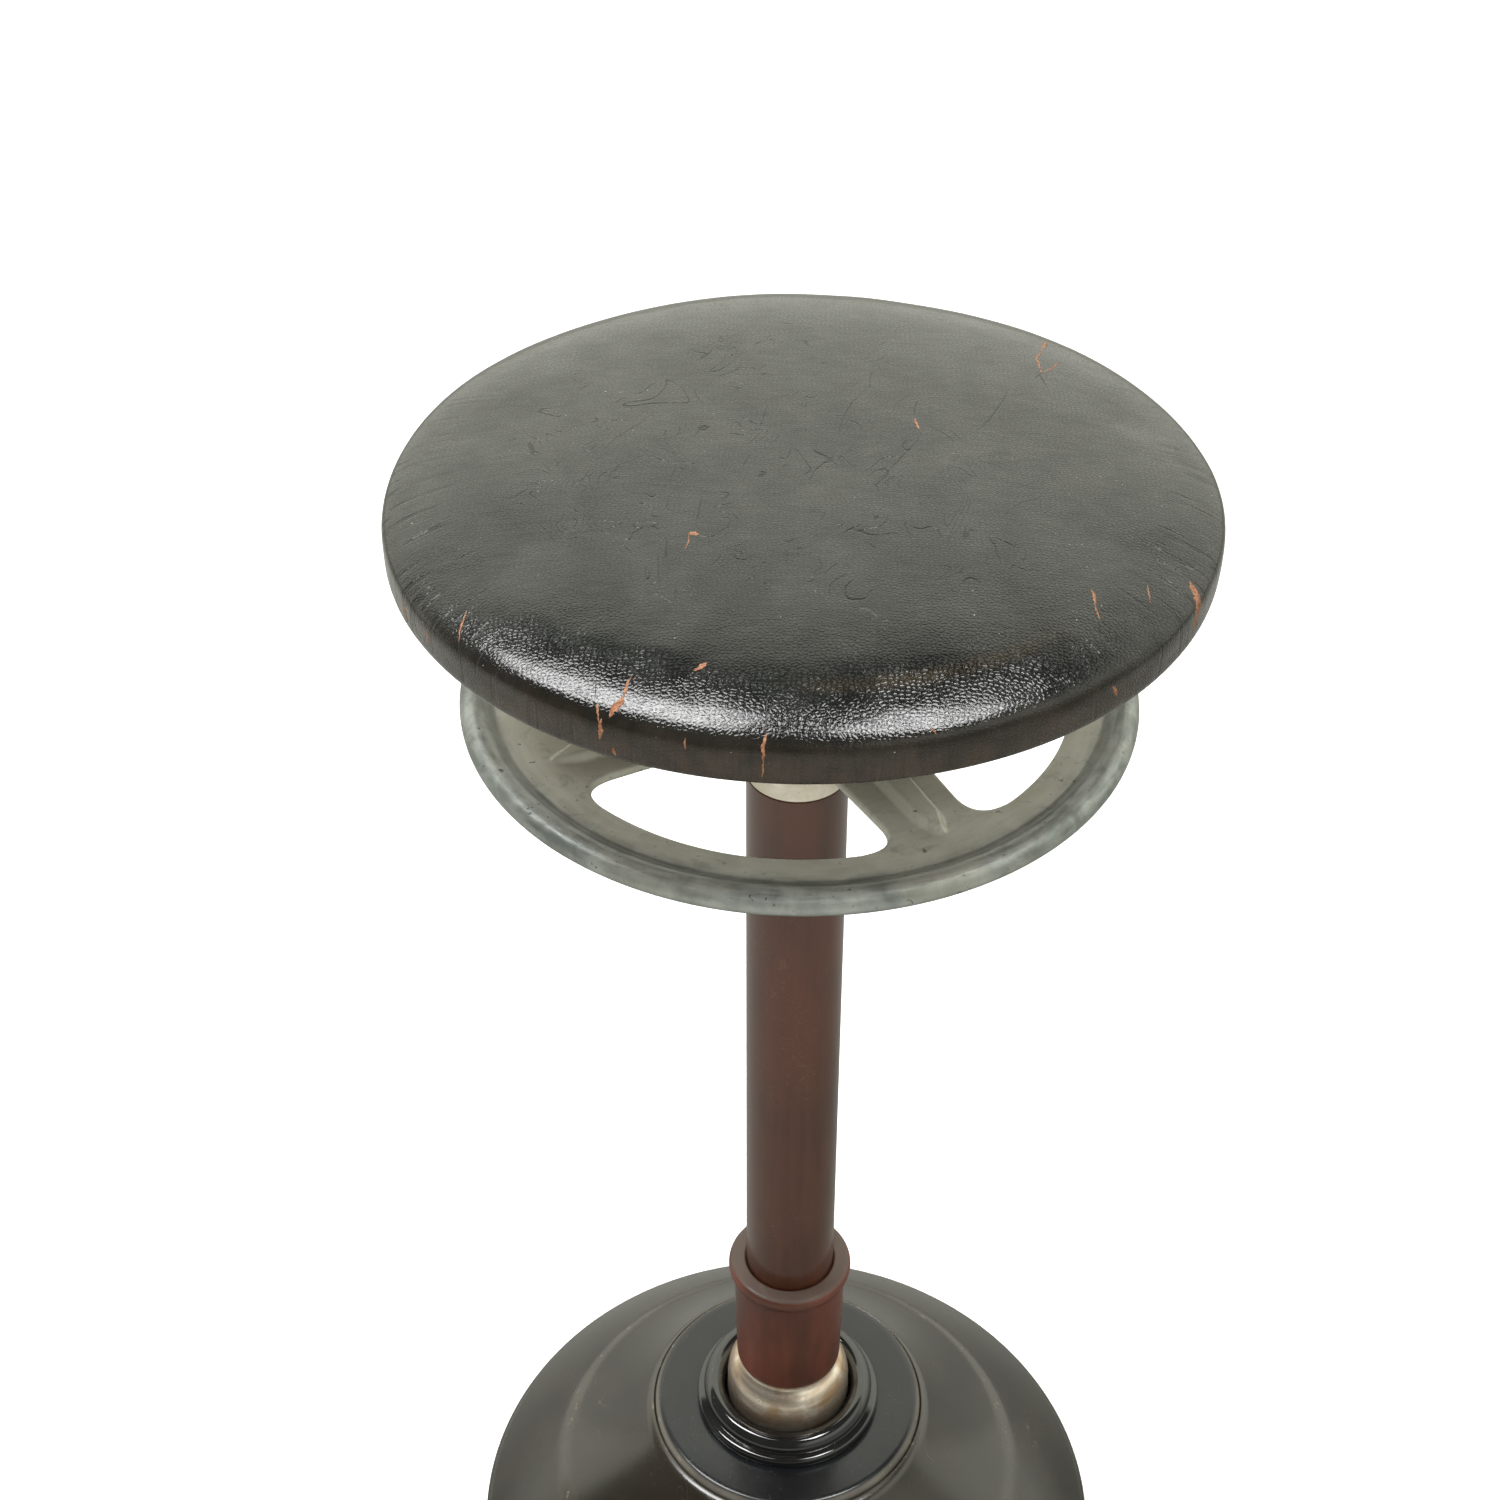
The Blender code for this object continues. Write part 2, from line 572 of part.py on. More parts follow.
def stop_collar(parent):
    bore_r = RAM_R + GAP
    outer_r = HUB_R - 4 * MM
    floor_z = BUSH_TOP_Z + GAP
    top_z = floor_z + COLLAR_T
    edge = 0.8 * MM
    profile = [(bore_r, top_z), (outer_r, top_z), (outer_r, floor_z + edge), (outer_r - edge, floor_z),
               (bore_r, floor_z)]
    collar = turned("stop_collar", profile, SMALL, DARK_STEEL, parent)
    middle_z = (floor_z + top_z) / 2
    hole = bar_along_y("collar_screw_hole", 2 * MM + GAP, RAM_R - 1 * MM, HUB_R + 4 * MM, middle_z,
                       CUTTER, parent, CUTTERS)
    combine(collar, hole, "DIFFERENCE")
    bar_along_y("collar_set_screw", 2 * MM, RAM_R + GAP, outer_r - 0.5 * MM, middle_z, DARK_STEEL, parent)


def window_outline(azimuth):
    """Outline of one opening between two spokes, with rounded corners, about its middle azimuth."""
    outer_r = RING_R - 34 * MM
    inner_r = HUB_R + 12 * MM
    half_gap = math.pi / SPOKES
    outer_half = half_gap - math.asin(18 * MM / outer_r)
    inner_half = half_gap - math.asin(22 * MM / inner_r)
    outer_steps, inner_steps = 6, 2
    corners = [on_plan(outer_r, azimuth - outer_half + 2 * outer_half * i / outer_steps)
               for i in range(outer_steps + 1)]
    corners += [on_plan(inner_r, azimuth + inner_half - 2 * inner_half * i / inner_steps)
                for i in range(inner_steps + 1)]
    rounding = [0.0] * len(corners)
    rounding[0] = rounding[outer_steps] = 20 * MM
    rounding[outer_steps + 1] = rounding[-1] = 7 * MM
    return rounded(corners, rounding)


def rounded(corners, rounding, steps=4):
    """A closed outline with each corner replaced by points of a curve tangent to its two sides."""
    points = []
    count = len(corners)
    for i, (x, y) in enumerate(corners):
        reach = rounding[i]
        if reach == 0.0:
            points.append((x, y))
            continue
        before, after = corners[i - 1], corners[(i + 1) % count]
        start, end = towards((x, y), before, reach), towards((x, y), after, reach)
        for k in range(steps + 1):
            t = k / steps
            a, b, c = (1 - t) ** 2, 2 * t * (1 - t), t ** 2
            points.append((a * start[0] + b * x + c * end[0], a * start[1] + b * y + c * end[1]))
    return points


def towards(point, goal, reach):
    length = math.hypot(goal[0] - point[0], goal[1] - point[1])
    share = min(reach / length, 0.48)
    return point[0] + (goal[0] - point[0]) * share, point[1] + (goal[1] - point[1]) * share


def spoke_plate(parent):
    """The flat web of the lift ring: a disc with four openings."""
    curve = bpy.data.curves.new("lift_ring", "CURVE")
    curve.dimensions = "2D"
    curve.fill_mode = "BOTH"
    curve.extrude = 2.2 * MM
    add_loop(curve, polar_loop(RING_R - 24 * MM, WIDE))
    add_loop(curve, polar_loop(RAM_R + 6 * MM, SMALL))
    for i in range(SPOKES):
        add_loop(curve, window_outline(SPOKE_AZIMUTH + math.pi / SPOKES + 2 * math.pi * i / SPOKES))
    plate = as_mesh("lift_ring", curve, CAST_GREY, parent)
    plate.location.z += RING_Z
    return plate


def ring_bead(parent):
    """Rounded hand grip of the ring, with the shallow groove inside it."""
    out = RING_R
    profile = [(out - 15.0 * MM, 2.4 * MM), (out - 12.5 * MM, 5.4 * MM), (out - 7.5 * MM, 6.9 * MM),
               (out - 2.6 * MM, 5.2 * MM), (out - 0.3 * MM, 1.6 * MM), (out - 0.7 * MM, -3.2 * MM),
               (out - 4.5 * MM, -6.3 * MM), (out - 10.0 * MM, -6.4 * MM), (out - 15.0 * MM, -4.6 * MM),
               (out - 34.2 * MM, -2.8 * MM), (out - 34.8 * MM, 1.0 * MM), (out - 31.0 * MM, 3.2 * MM)]
    profile = [(radius, RING_Z + height) for radius, height in profile]
    return turned("ring_bead", profile, WIDE, CUTTER, parent, CUTTERS)


def ring_hub(parent):
    bore_r = RAM_R + GAP
    profile = [(bore_r, HUB_TOP_Z), (HUB_R - 2 * MM, HUB_TOP_Z), (HUB_R, HUB_TOP_Z - 2 * MM),
               (HUB_R + 3 * MM, RING_Z + 4 * MM), (HUB_R + 3 * MM, RING_Z - 4 * MM), (HUB_R, HUB_FLOOR_Z),
               (bore_r, HUB_FLOOR_Z)]
    return turned("ring_hub", profile, MIDDLE, CUTTER, parent, CUTTERS)


def spoke_rib(index, parent):
    """Raised rib along a spoke: wide at the hub, sloping sides, blunt point near the grip."""
    stations = [(RAM_R + 6 * MM, 9.0 * MM, 8.0 * MM), (RING_R - 42 * MM, 6.5 * MM, 5.8 * MM),
                (RING_R - 32 * MM, 2.6 * MM, 4.0 * MM)]
    slope = 2.4 * MM
    corners, faces = [], []
    for reach, half, height in stations:
        corners += [(reach, half, 0.0), (reach, half - slope, height)]
        corners += [(reach, slope - half, height), (reach, -half, 0.0)]
    for i in range(len(stations) - 1):
        for k in range(4):
            a, b = 4 * i + k, 4 * i + (k + 1) % 4
            faces.append((a, b, b + 4, a + 4))
    last = 4 * (len(stations) - 1)
    faces += [(3, 2, 1, 0), (last, last + 1, last + 2, last + 3)]
    mesh = bpy.data.meshes.new(f"spoke_rib_{index + 1}")
    mesh.from_pydata(corners, [], faces)
    turn = Matrix.Rotation(SPOKE_AZIMUTH + 2 * math.pi * index / SPOKES, 4, "Z")
    mesh.transform(Matrix.Translation((0, 0, RING_Z + 0.8 * MM)) @ turn)
    rib = bpy.data.objects.new(mesh.name, mesh)
    CUTTERS.objects.link(rib)
    finish(rib, CUTTER)
    place(rib, parent)
    return rib


def lift_ring(parent):
    ring = spoke_plate(parent)
    combine(ring, ring_bead(parent), "UNION")
    combine(ring, ring_hub(parent), "UNION")
    for i in range(SPOKES):
        combine(ring, spoke_rib(i, parent), "UNION")
    hole = bar_along_y("hub_pin_hole", PIN_R + GAP, -2 * HUB_R, 2 * HUB_R, PIN_Z, CUTTER, parent, CUTTERS)
    combine(ring, hole, "DIFFERENCE")


def cross_pin(parent):
    bar_along_y("cross_pin", PIN_R, -HUB_R, HUB_R, PIN_Z, DARK_STEEL, parent)


def release_rod(parent):
    cone_top_z = RAM_FLOOR_Z - 1 * MM
    cone_floor_z = COLLET_FLOOR_Z + 2 * MM
    head_r = RAM_BORE_R - 5 * MM
    profile = [(0.0, ROD_TOP_Z), (head_r, ROD_TOP_Z), (head_r, ROD_TOP_Z - 3 * MM),
               (ROD_R, ROD_TOP_Z - 4 * MM), (ROD_R, cone_top_z + 1 * MM),
               (cone_radius(cone_top_z) - GAP, cone_top_z),
               (cone_radius(cone_floor_z) - GAP, cone_floor_z), (0.0, cone_floor_z)]
    rod = turned("release_rod", profile, SMALL, BRIGHT_STEEL, parent)
    hole = bar_along_y("rod_pin_hole", PIN_R + GAP, -RAM_R, RAM_R, PIN_Z, CUTTER, parent, CUTTERS)
    combine(rod, hole, "DIFFERENCE")


def rod_spring(parent):
    coil("rod_spring", RAM_BORE_R - 7 * MM, 0.7 * MM, ROD_TOP_Z, PLUG_FLOOR_Z, 5, SPRING_STEEL, parent)


# Seat: spindle, flange, board, pad, cover

def spindle_heights():
    flange_z = RAM_TOP_Z + GAP
    washer_z = flange_z + SPINDLE_FLANGE_T
    hub_z = washer_z + GAP + THRUST_T + GAP
    shoulder_z = SEAT_FLANGE_TOP_Z + 0.4 * MM
    return flange_z, washer_z, hub_z, shoulder_z


def seat_spindle(parent):
    flange_z, washer_z, _, shoulder_z = spindle_heights()
    plug_r = RAM_BORE_R - GAP
    flange_r = RAM_R + 7 * MM
    thread_top_z = BOARD_Z + BOARD_T - 0.6 * MM
    profile = [(0.0, thread_top_z), (SPINDLE_THREAD_R, thread_top_z), (SPINDLE_THREAD_R, shoulder_z),
               (SPINDLE_R, shoulder_z), (SPINDLE_R, washer_z), (flange_r, washer_z), (flange_r, flange_z),
               (plug_r, flange_z), (plug_r, PLUG_FLOOR_Z), (0.0, PLUG_FLOOR_Z)]
    turned("seat_spindle", profile, SMALL, BRIGHT_STEEL, parent)


def thrust_washer(parent):
    _, washer_z, _, _ = spindle_heights()
    low, top = washer_z + GAP, washer_z + GAP + THRUST_T
    bore_r, outer_r = SPINDLE_R + GAP, RAM_R + 6.5 * MM
    profile = [(bore_r, top), (outer_r, top), (outer_r, low), (bore_r, low)]
    turned("thrust_washer", profile, SMALL, BRONZE, parent)


def spindle_nut_and_washer(parent):
    _, _, _, shoulder_z = spindle_heights()
    washer_z = shoulder_z + GAP
    washer_top_z = washer_z + 2 * MM
    nut_z = washer_top_z + GAP
    hole_r = SPINDLE_THREAD_R + GAP
    outer_r = BOARD_HOLE_R - 2.5 * MM
    profile = [(hole_r, washer_top_z), (outer_r, washer_top_z), (outer_r, washer_z), (hole_r, washer_z)]
    turned("spindle_washer", profile, SMALL, DARK_STEEL, parent)
    hex_nut("spindle_nut", 24 * MM, hole_r, nut_z, nut_z + 7 * MM, DARK_STEEL, parent)


def seat_screw_spots():
    return [on_plan(SEAT_SCREW_CIRCLE_R, math.radians(45 + 90 * i)) for i in range(4)]


def seat_flange(parent):
    _, _, hub_z, _ = spindle_heights()
    bore_r = SPINDLE_R + GAP
    hub_r = RAM_R + 9 * MM
    top = SEAT_FLANGE_TOP_Z
    floor_z = top - SEAT_FLANGE_T
    profile = [(bore_r, top), (SEAT_FLANGE_R, top), (SEAT_FLANGE_R, floor_z + 2.5 * MM),
               (SEAT_FLANGE_R - 2 * MM, floor_z + 1.5 * MM), (hub_r + 6 * MM, floor_z),
               (hub_r, floor_z - 2 * MM), (hub_r, hub_z), (bore_r, hub_z)]
    flange = turned("seat_flange", profile, MIDDLE, GREY_IRON_FLANGE, parent)
    for i, at in enumerate(seat_screw_spots()):
        hole = upright_cutter(f"flange_hole_{i + 1}", SEAT_SCREW_R + GAP, at, floor_z - 5 * MM,
                              top + 5 * MM, parent)
        combine(flange, hole, "DIFFERENCE")


def seat_screws(parent):
    """Round-head screws from below through the flange into the board."""
    head_top_z = SEAT_FLANGE_TOP_Z - SEAT_FLANGE_T - GAP
    tip_z = BOARD_Z + 9 * MM
    for i, (x, y) in enumerate(seat_screw_spots()):
        profile = [(0.0, tip_z), (SEAT_SCREW_R, tip_z - 2 * MM), (SEAT_SCREW_R, head_top_z),
                   (5 * MM, head_top_z), (4 * MM, head_top_z - 2.2 * MM), (0.0, head_top_z - 3 * MM)]
        screw = turned(f"seat_screw_{i + 1}", profile, 12, DARK_STEEL, parent)
        screw.location.x = x
        screw.location.y = y


def seat_board(parent):
    edge = 1.5 * MM
    top = BOARD_Z + BOARD_T
    profile = [(BOARD_HOLE_R, top), (BOARD_R - edge, top), (BOARD_R, top - edge), (BOARD_R, BOARD_Z),
               (BOARD_HOLE_R, BOARD_Z)]
    board = turned("seat_board", profile, WIDE, WOOD, parent)
    for i, at in enumerate(seat_screw_spots()):
        hole = upright_cutter(f"board_hole_{i + 1}", SEAT_SCREW_R + GAP, at, BOARD_Z - 3 * MM,
                              BOARD_Z + 10 * MM, parent)
        combine(board, hole, "DIFFERENCE")


def cushion_curve(inset):
    """Crown and rolled edge of the seat as one curve from the middle out to the girth, shrunk by inset.

    height = girth + rise * (1 - share ^ crown power) ^ (1 / roll power), at share = radius / girth radius."""
    girth_z = SEAT_Z + 0.42 * SEAT_THICK
    rise = SEAT_Z + SEAT_THICK - inset - girth_z
    girth_r = SEAT_R - inset
    steps = 9
    shares = [math.sin(0.5 * math.pi * i / steps) for i in range(steps + 1)]
    heights = [girth_z + rise * (1 - share ** CROWN_POWER) ** (1 / ROLL_POWER) for share in shares]
    return [(girth_r * share, height) for share, height in zip(shares, heights)]


def seat_pad(parent):
    floor_z = BOARD_Z + BOARD_T + GAP
    rim_r = SEAT_R - LEATHER_T - 6 * MM
    curve = [p for p in cushion_curve(LEATHER_T + GAP) if p[0] < rim_r]
    profile = curve + [(rim_r, floor_z + 0.6 * MM), (rim_r - 0.6 * MM, floor_z), (0.0, floor_z)]
    turned("seat_pad", profile, WIDE, PAD_FELT, parent)


def seat_cover(parent):
    lip_r = SEAT_R - 17 * MM
    side_r = SEAT_R - 0.5 * MM
    outside = cushion_curve(0.0)
    inside = cushion_curve(LEATHER_T)
    profile = outside + [(side_r + 0.1 * MM, SEAT_Z + 6 * MM), (side_r, SEAT_Z + 1.6 * MM),
                         (side_r - 1.5 * MM, SEAT_Z), (lip_r, SEAT_Z), (lip_r, SEAT_Z + LEATHER_T),
                         (side_r - LEATHER_T, SEAT_Z + LEATHER_T)]
    profile += inside[::-1]
    turned("seat_cover", profile, WIDE, LEATHER, parent)


# Materials

def base_materials():
    global BLACK_ENAMEL, BLACK_ENAMEL_PLATE, GLOSS_BLACK, GREY_IRON, RUBBER, DARK_STEEL, FIBRE, WORN_STEEL
    BLACK_ENAMEL = material("black_enamel", (0.030, 0.032, 0.034), 0.28)
    BLACK_ENAMEL_PLATE = material("black_enamel_plate", (0.028, 0.030, 0.034), 0.25)
    GLOSS_BLACK = material("gloss_black", (0.012, 0.013, 0.014), 0.16)
    GREY_IRON = material("grey_iron", (0.18, 0.18, 0.18), 0.6, 1.0)
    RUBBER = material("floor_rubber", (0.02, 0.02, 0.02), 0.8)
    DARK_STEEL = material("dark_steel", (0.16, 0.16, 0.16), 0.45, 1.0)
    FIBRE = material("fibre", (0.20, 0.11, 0.07), 0.8)
    WORN_STEEL = material("worn_steel", (0.34, 0.29, 0.24), 0.38, 0.8)


def column_materials():
    global BROWN_ENAMEL, BROWN_ENAMEL_SLEEVE, NICKEL, NICKEL_BUSH, BRONZE, SPRING_STEEL
    global BRIGHT_STEEL, CAST_GREY
    BROWN_ENAMEL = material("brown_enamel", (0.090, 0.042, 0.028), 0.30)
    BROWN_ENAMEL_SLEEVE = material("brown_enamel_sleeve", (0.085, 0.034, 0.026), 0.25)
    NICKEL = material("nickel", (0.62, 0.59, 0.53), 0.25, 1.0)
    NICKEL_BUSH = material("nickel_bush", (0.62, 0.59, 0.53), 0.30, 1.0)
    BRONZE = material("bronze", (0.45, 0.28, 0.12), 0.45, 1.0)
    SPRING_STEEL = material("spring_steel", (0.22, 0.22, 0.23), 0.4, 1.0)
    BRIGHT_STEEL = material("bright_steel", (0.45, 0.45, 0.44), 0.35, 1.0)
    CAST_GREY = material("cast_grey", (0.27, 0.29, 0.27), 0.42, 0.9)


def seat_materials():
    global LEATHER, PAD_FELT, WOOD, GREY_IRON_FLANGE, CUTTER
    LEATHER = material("leather", (0.022, 0.022, 0.021), 0.42)
    PAD_FELT = material("pad_felt", (0.35, 0.27, 0.17), 0.95)
    WOOD = material("seat_wood", (0.32, 0.19, 0.09), 0.7)
    GREY_IRON_FLANGE = material("grey_iron_flange", (0.10, 0.10, 0.10), 0.6, 0.6)
    CUTTER = material("cutter", (0.8, 0.2, 0.2), 0.5)


# Building the object, from the floor up

clear_scene()
PARTS = new_collection("dental_stool")
CUTTERS = new_collection("cutters")
base_materials()
column_materials()
seat_materials()

liner_pivot = pivot("liner_pivot", BALL_Z)
column_pivot = pivot("column_pivot", BALL_Z, liner_pivot)
ram_slide = pivot("ram_slide", TUBE_TOP_Z, column_pivot)
ring_slide = pivot("ring_slide", RING_Z, ram_slide)
seat_pivot = pivot("seat_pivot", RAM_TOP_Z, ram_slide)

dome_base()
floor_ring()
socket_plate()
socket_ring()
socket_cup()
socket_bolts()
tail_spring()
ball_liner(liner_pivot)
ball_foot(column_pivot)
tail_parts(column_pivot)
sleeve(column_pivot)
sleeve_set_screw(column_pivot)
outer_tube(column_pivot)
tube_top_bush(column_pivot)
lift_spring(column_pivot)
ram(ram_slide)
lock_collet(ram_slide)
stop_collar(ram_slide)
rod_spring(ram_slide)
seat_spindle(ram_slide)
thrust_washer(ram_slide)
spindle_nut_and_washer(ram_slide)
lift_ring(ring_slide)
cross_pin(ring_slide)
release_rod(ring_slide)
seat_flange(seat_pivot)
seat_screws(seat_pivot)
seat_board(seat_pivot)
seat_pad(seat_pivot)
seat_cover(seat_pivot)
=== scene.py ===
"""Looks of the dental stool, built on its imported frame. Metres, +Z up, front towards -Y."""
import math

import bmesh
import bpy
import numpy as np
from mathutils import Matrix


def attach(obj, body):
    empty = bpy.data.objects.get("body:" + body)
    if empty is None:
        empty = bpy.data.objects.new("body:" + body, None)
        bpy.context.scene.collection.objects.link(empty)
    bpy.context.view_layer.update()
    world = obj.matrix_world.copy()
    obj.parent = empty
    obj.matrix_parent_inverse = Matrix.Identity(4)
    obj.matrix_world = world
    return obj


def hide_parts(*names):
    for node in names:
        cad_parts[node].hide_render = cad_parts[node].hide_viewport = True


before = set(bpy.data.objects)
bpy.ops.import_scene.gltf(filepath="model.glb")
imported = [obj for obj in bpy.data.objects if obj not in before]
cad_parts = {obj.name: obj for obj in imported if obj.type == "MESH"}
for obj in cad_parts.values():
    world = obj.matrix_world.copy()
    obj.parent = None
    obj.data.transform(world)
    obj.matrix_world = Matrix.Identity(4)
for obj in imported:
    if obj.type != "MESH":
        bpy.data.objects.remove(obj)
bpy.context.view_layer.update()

# Dome of the base
# An iron casting turned to two soft slopes with a crease between them, dipped in black stoving
# enamel. It is hollow underneath, and the enamel has chipped along its edges. A pale band along the
# crease is a painted highlight.

MM = 0.001


def bowed(start, end, bulge, count=20):
    """Points of a shallow arc from start to end that stands out by bulge at its middle."""
    share = np.linspace(0.0, 1.0, count)[:, None]
    along = np.subtract(end, start)
    out = np.array((-along[1], along[0])) / np.hypot(*along)
    return np.array(start) + along * share + out * 4 * bulge * share * (1 - share)


def round_corner(start, corner, end, steps):
    """Points of a curve that is drawn towards a corner: p = (1-t)^2 start + 2t(1-t) corner + t^2 end."""
    t = np.linspace(0.0, 1.0, steps)[:, None]
    return (1 - t) ** 2 * start + 2 * t * (1 - t) * corner + t ** 2 * end


def softened(corners, steps=5):
    """A closed profile whose corners (radius, height, rounding) become short curves.

    A curve leaves the side before its corner, and meets the side after it, at the rounding's
    distance from the corner, or just short of the side's middle where the side is shorter."""
    points = []
    for i, (radius, height, rounding) in enumerate(corners):
        corner = np.array((radius, height))
        if not rounding:
            points.append(corner[None])
            continue
        ends = []
        for other in (corners[i - 1], corners[(i + 1) % len(corners)]):
            side = np.array(other[:2]) - corner
            length = np.hypot(*side)
            ends.append(corner + side / length * min(rounding, 0.48 * length))
        points.append(round_corner(ends[0], corner, ends[1], steps))
    return np.concatenate(points)


def unrounded(points):
    """Points of a drawn curve as corners that stay as they are."""
    return [(radius, height, 0.0) for radius, height in points]


def new_piece(name, vertices, faces):
    """A smooth mesh object in the scene, from an array of points and a list of faces."""
    mesh = bpy.data.meshes.new(name)
    mesh.from_pydata(vertices.tolist(), [], faces)
    mesh.polygons.foreach_set("use_smooth", np.ones(len(mesh.polygons), bool))
    piece = bpy.data.objects.new(name, mesh)
    bpy.context.scene.collection.objects.link(piece)
    return piece


def mesh_piece(name, vertices, faces):
    """A piece of closed quads, turned to face outwards where their signed volume is negative."""
    a, b, c, d = (vertices[faces[:, k]] for k in range(4))
    volume = np.einsum("ij,ij->", a, np.cross(b, c) + np.cross(c, d))
    if volume < 0:
        faces = faces[:, ::-1]
    return new_piece(name, vertices, faces.tolist())


def ring_faces(rows, columns):
    """Quads of a grid of points that joins up both ways."""
    index = np.arange(rows * columns).reshape(rows, columns)
    right = np.roll(index, -1, axis=1)
    down = np.roll(index, -1, axis=0)
    opposite = np.roll(down, -1, axis=1)
    return np.stack((index, right, opposite, down), axis=-1).reshape(-1, 4)


def turned_points(profile, around):
    """A closed profile in millimetres carried round Z: x = r cos a, y = r sin a, z = height."""
    angle = np.linspace(0.0, 2 * math.pi, around, endpoint=False)
    radius, height = profile[:, :1] * MM, profile[:, 1:] * MM
    return np.stack((radius * np.cos(angle), radius * np.sin(angle), height + 0 * angle), axis=-1)


def turned(name, profile, around=160):
    """A turned piece: its closed profile in millimetres carried round the column's axis."""
    points = turned_points(profile, around)
    return mesh_piece(name, points.reshape(-1, 3), ring_faces(*points.shape[:2]))


def fit(piece, body, nodes, finish):
    """Put a finished piece on its body, in the place of its CAD nodes where it has any."""
    piece.data.materials.append(finish)
    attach(piece, body)
    if nodes:
        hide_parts(*nodes)


class Wire:
    """One value of a shader; sums and products with it add the nodes that work them out."""

    def __init__(self, socket):
        self.socket = socket

    def node(self, kind, inputs, output=0, **settings):
        """Any other node of the same shader, fed by numbers, colours or wires."""
        made = self.socket.id_data.nodes.new(kind)
        for key, value in settings.items():
            setattr(made, key, value)
        for key, value in inputs.items():
            feed(made.inputs[key], value)
        return Wire(made.outputs[output])

    def twin(self, output):
        """Another output of the node that this value comes from."""
        return Wire(self.socket.node.outputs[output])

    def maths(self, operation, first, second=0.0):
        return self.node("ShaderNodeMath", {0: first, 1: second}, operation=operation)

    def __add__(self, other):
        return self.maths("ADD", self, other)

    def __sub__(self, other):
        return self.maths("SUBTRACT", self, other)

    def __rsub__(self, other):
        return self.maths("SUBTRACT", other, self)

    def __mul__(self, other):
        return self.maths("MULTIPLY", self, other)

    def __abs__(self):
        return self.maths("ABSOLUTE", self)

    def least(self, other):
        return self.maths("MINIMUM", self, other)

    def most(self, other):
        return self.maths("MAXIMUM", self, other)

    __radd__ = __add__
    __rmul__ = __mul__


def feed(socket, value):
    """Link a wire to a socket, or set a plain number or colour on the socket itself."""
    if isinstance(value, Wire):
        socket.id_data.links.new(value.socket, socket)
    elif socket.type == "RGBA":
        socket.default_value = (*value, 1.0)
    else:
        socket.default_value = value


def rise(value, low, high):
    """0 where the value is under low, 1 where it is over high, an S curve between."""
    return value.node("ShaderNodeMapRange", {"Value": value, "From Min": low, "From Max": high},
                      interpolation_type="SMOOTHSTEP")


def clouds(place, size, detail=2.0, warp=0.0, rough=0.5):
    """Cloudy value about 0.5, with lumps of that size in metres."""
    return place.node("ShaderNodeTexNoise", {"Vector": place, "Scale": 1.0 / size, "Detail": detail,
                                             "Roughness": rough, "Distortion": warp})


def hairs(value, width):
    """1 along the thin lines where a cloudy value passes its middle, 0 beside them."""
    return 1.0 - rise(abs(value - 0.5), 0.0, width)


def stretched(place, x, y, z):
    """The place with each of its axes multiplied, to draw a pattern out along one of them."""
    return place.node("ShaderNodeVectorMath", {0: place, 1: (x, y, z)}, operation="MULTIPLY")


def blend(share, first, second):
    """The first colour where share is 0, the second where it is 1."""
    return share.node("ShaderNodeMix", {0: share, 6: first, 7: second}, output=2, data_type="RGBA")


def relief(height):
    """Normal of a surface that stands up by that height in metres."""
    return height.node("ShaderNodeBump", {"Height": height, "Distance": 1.0, "Strength": 1.0})


def dress(shader, colour, height, **varying):
    """Link a finish's colour, the height of its relief in metres, and its other varying values."""
    feed(shader.inputs["Base Color"], colour)
    feed(shader.inputs["Normal"], relief(height))
    for key, value in varying.items():
        feed(shader.inputs[key.replace("_", " ")], value)


def new_finish(name, **uniform):
    """A material, its shader node with the uniform values set on it, and the place in metres."""
    finish = bpy.data.materials.new(name)
    finish.use_nodes = True
    shader = finish.node_tree.nodes["Principled BSDF"]
    for key, value in uniform.items():
        feed(shader.inputs[key.replace("_", " ")], value)
    place = Wire(finish.node_tree.nodes.new("ShaderNodeTexCoord").outputs["Object"])
    return finish, shader, place


def from_axis(place):
    """Distance from the column's axis."""
    flat = stretched(place, 1.0, 1.0, 0.0)
    return flat.node("ShaderNodeVectorMath", {0: flat}, output=1, operation="LENGTH")


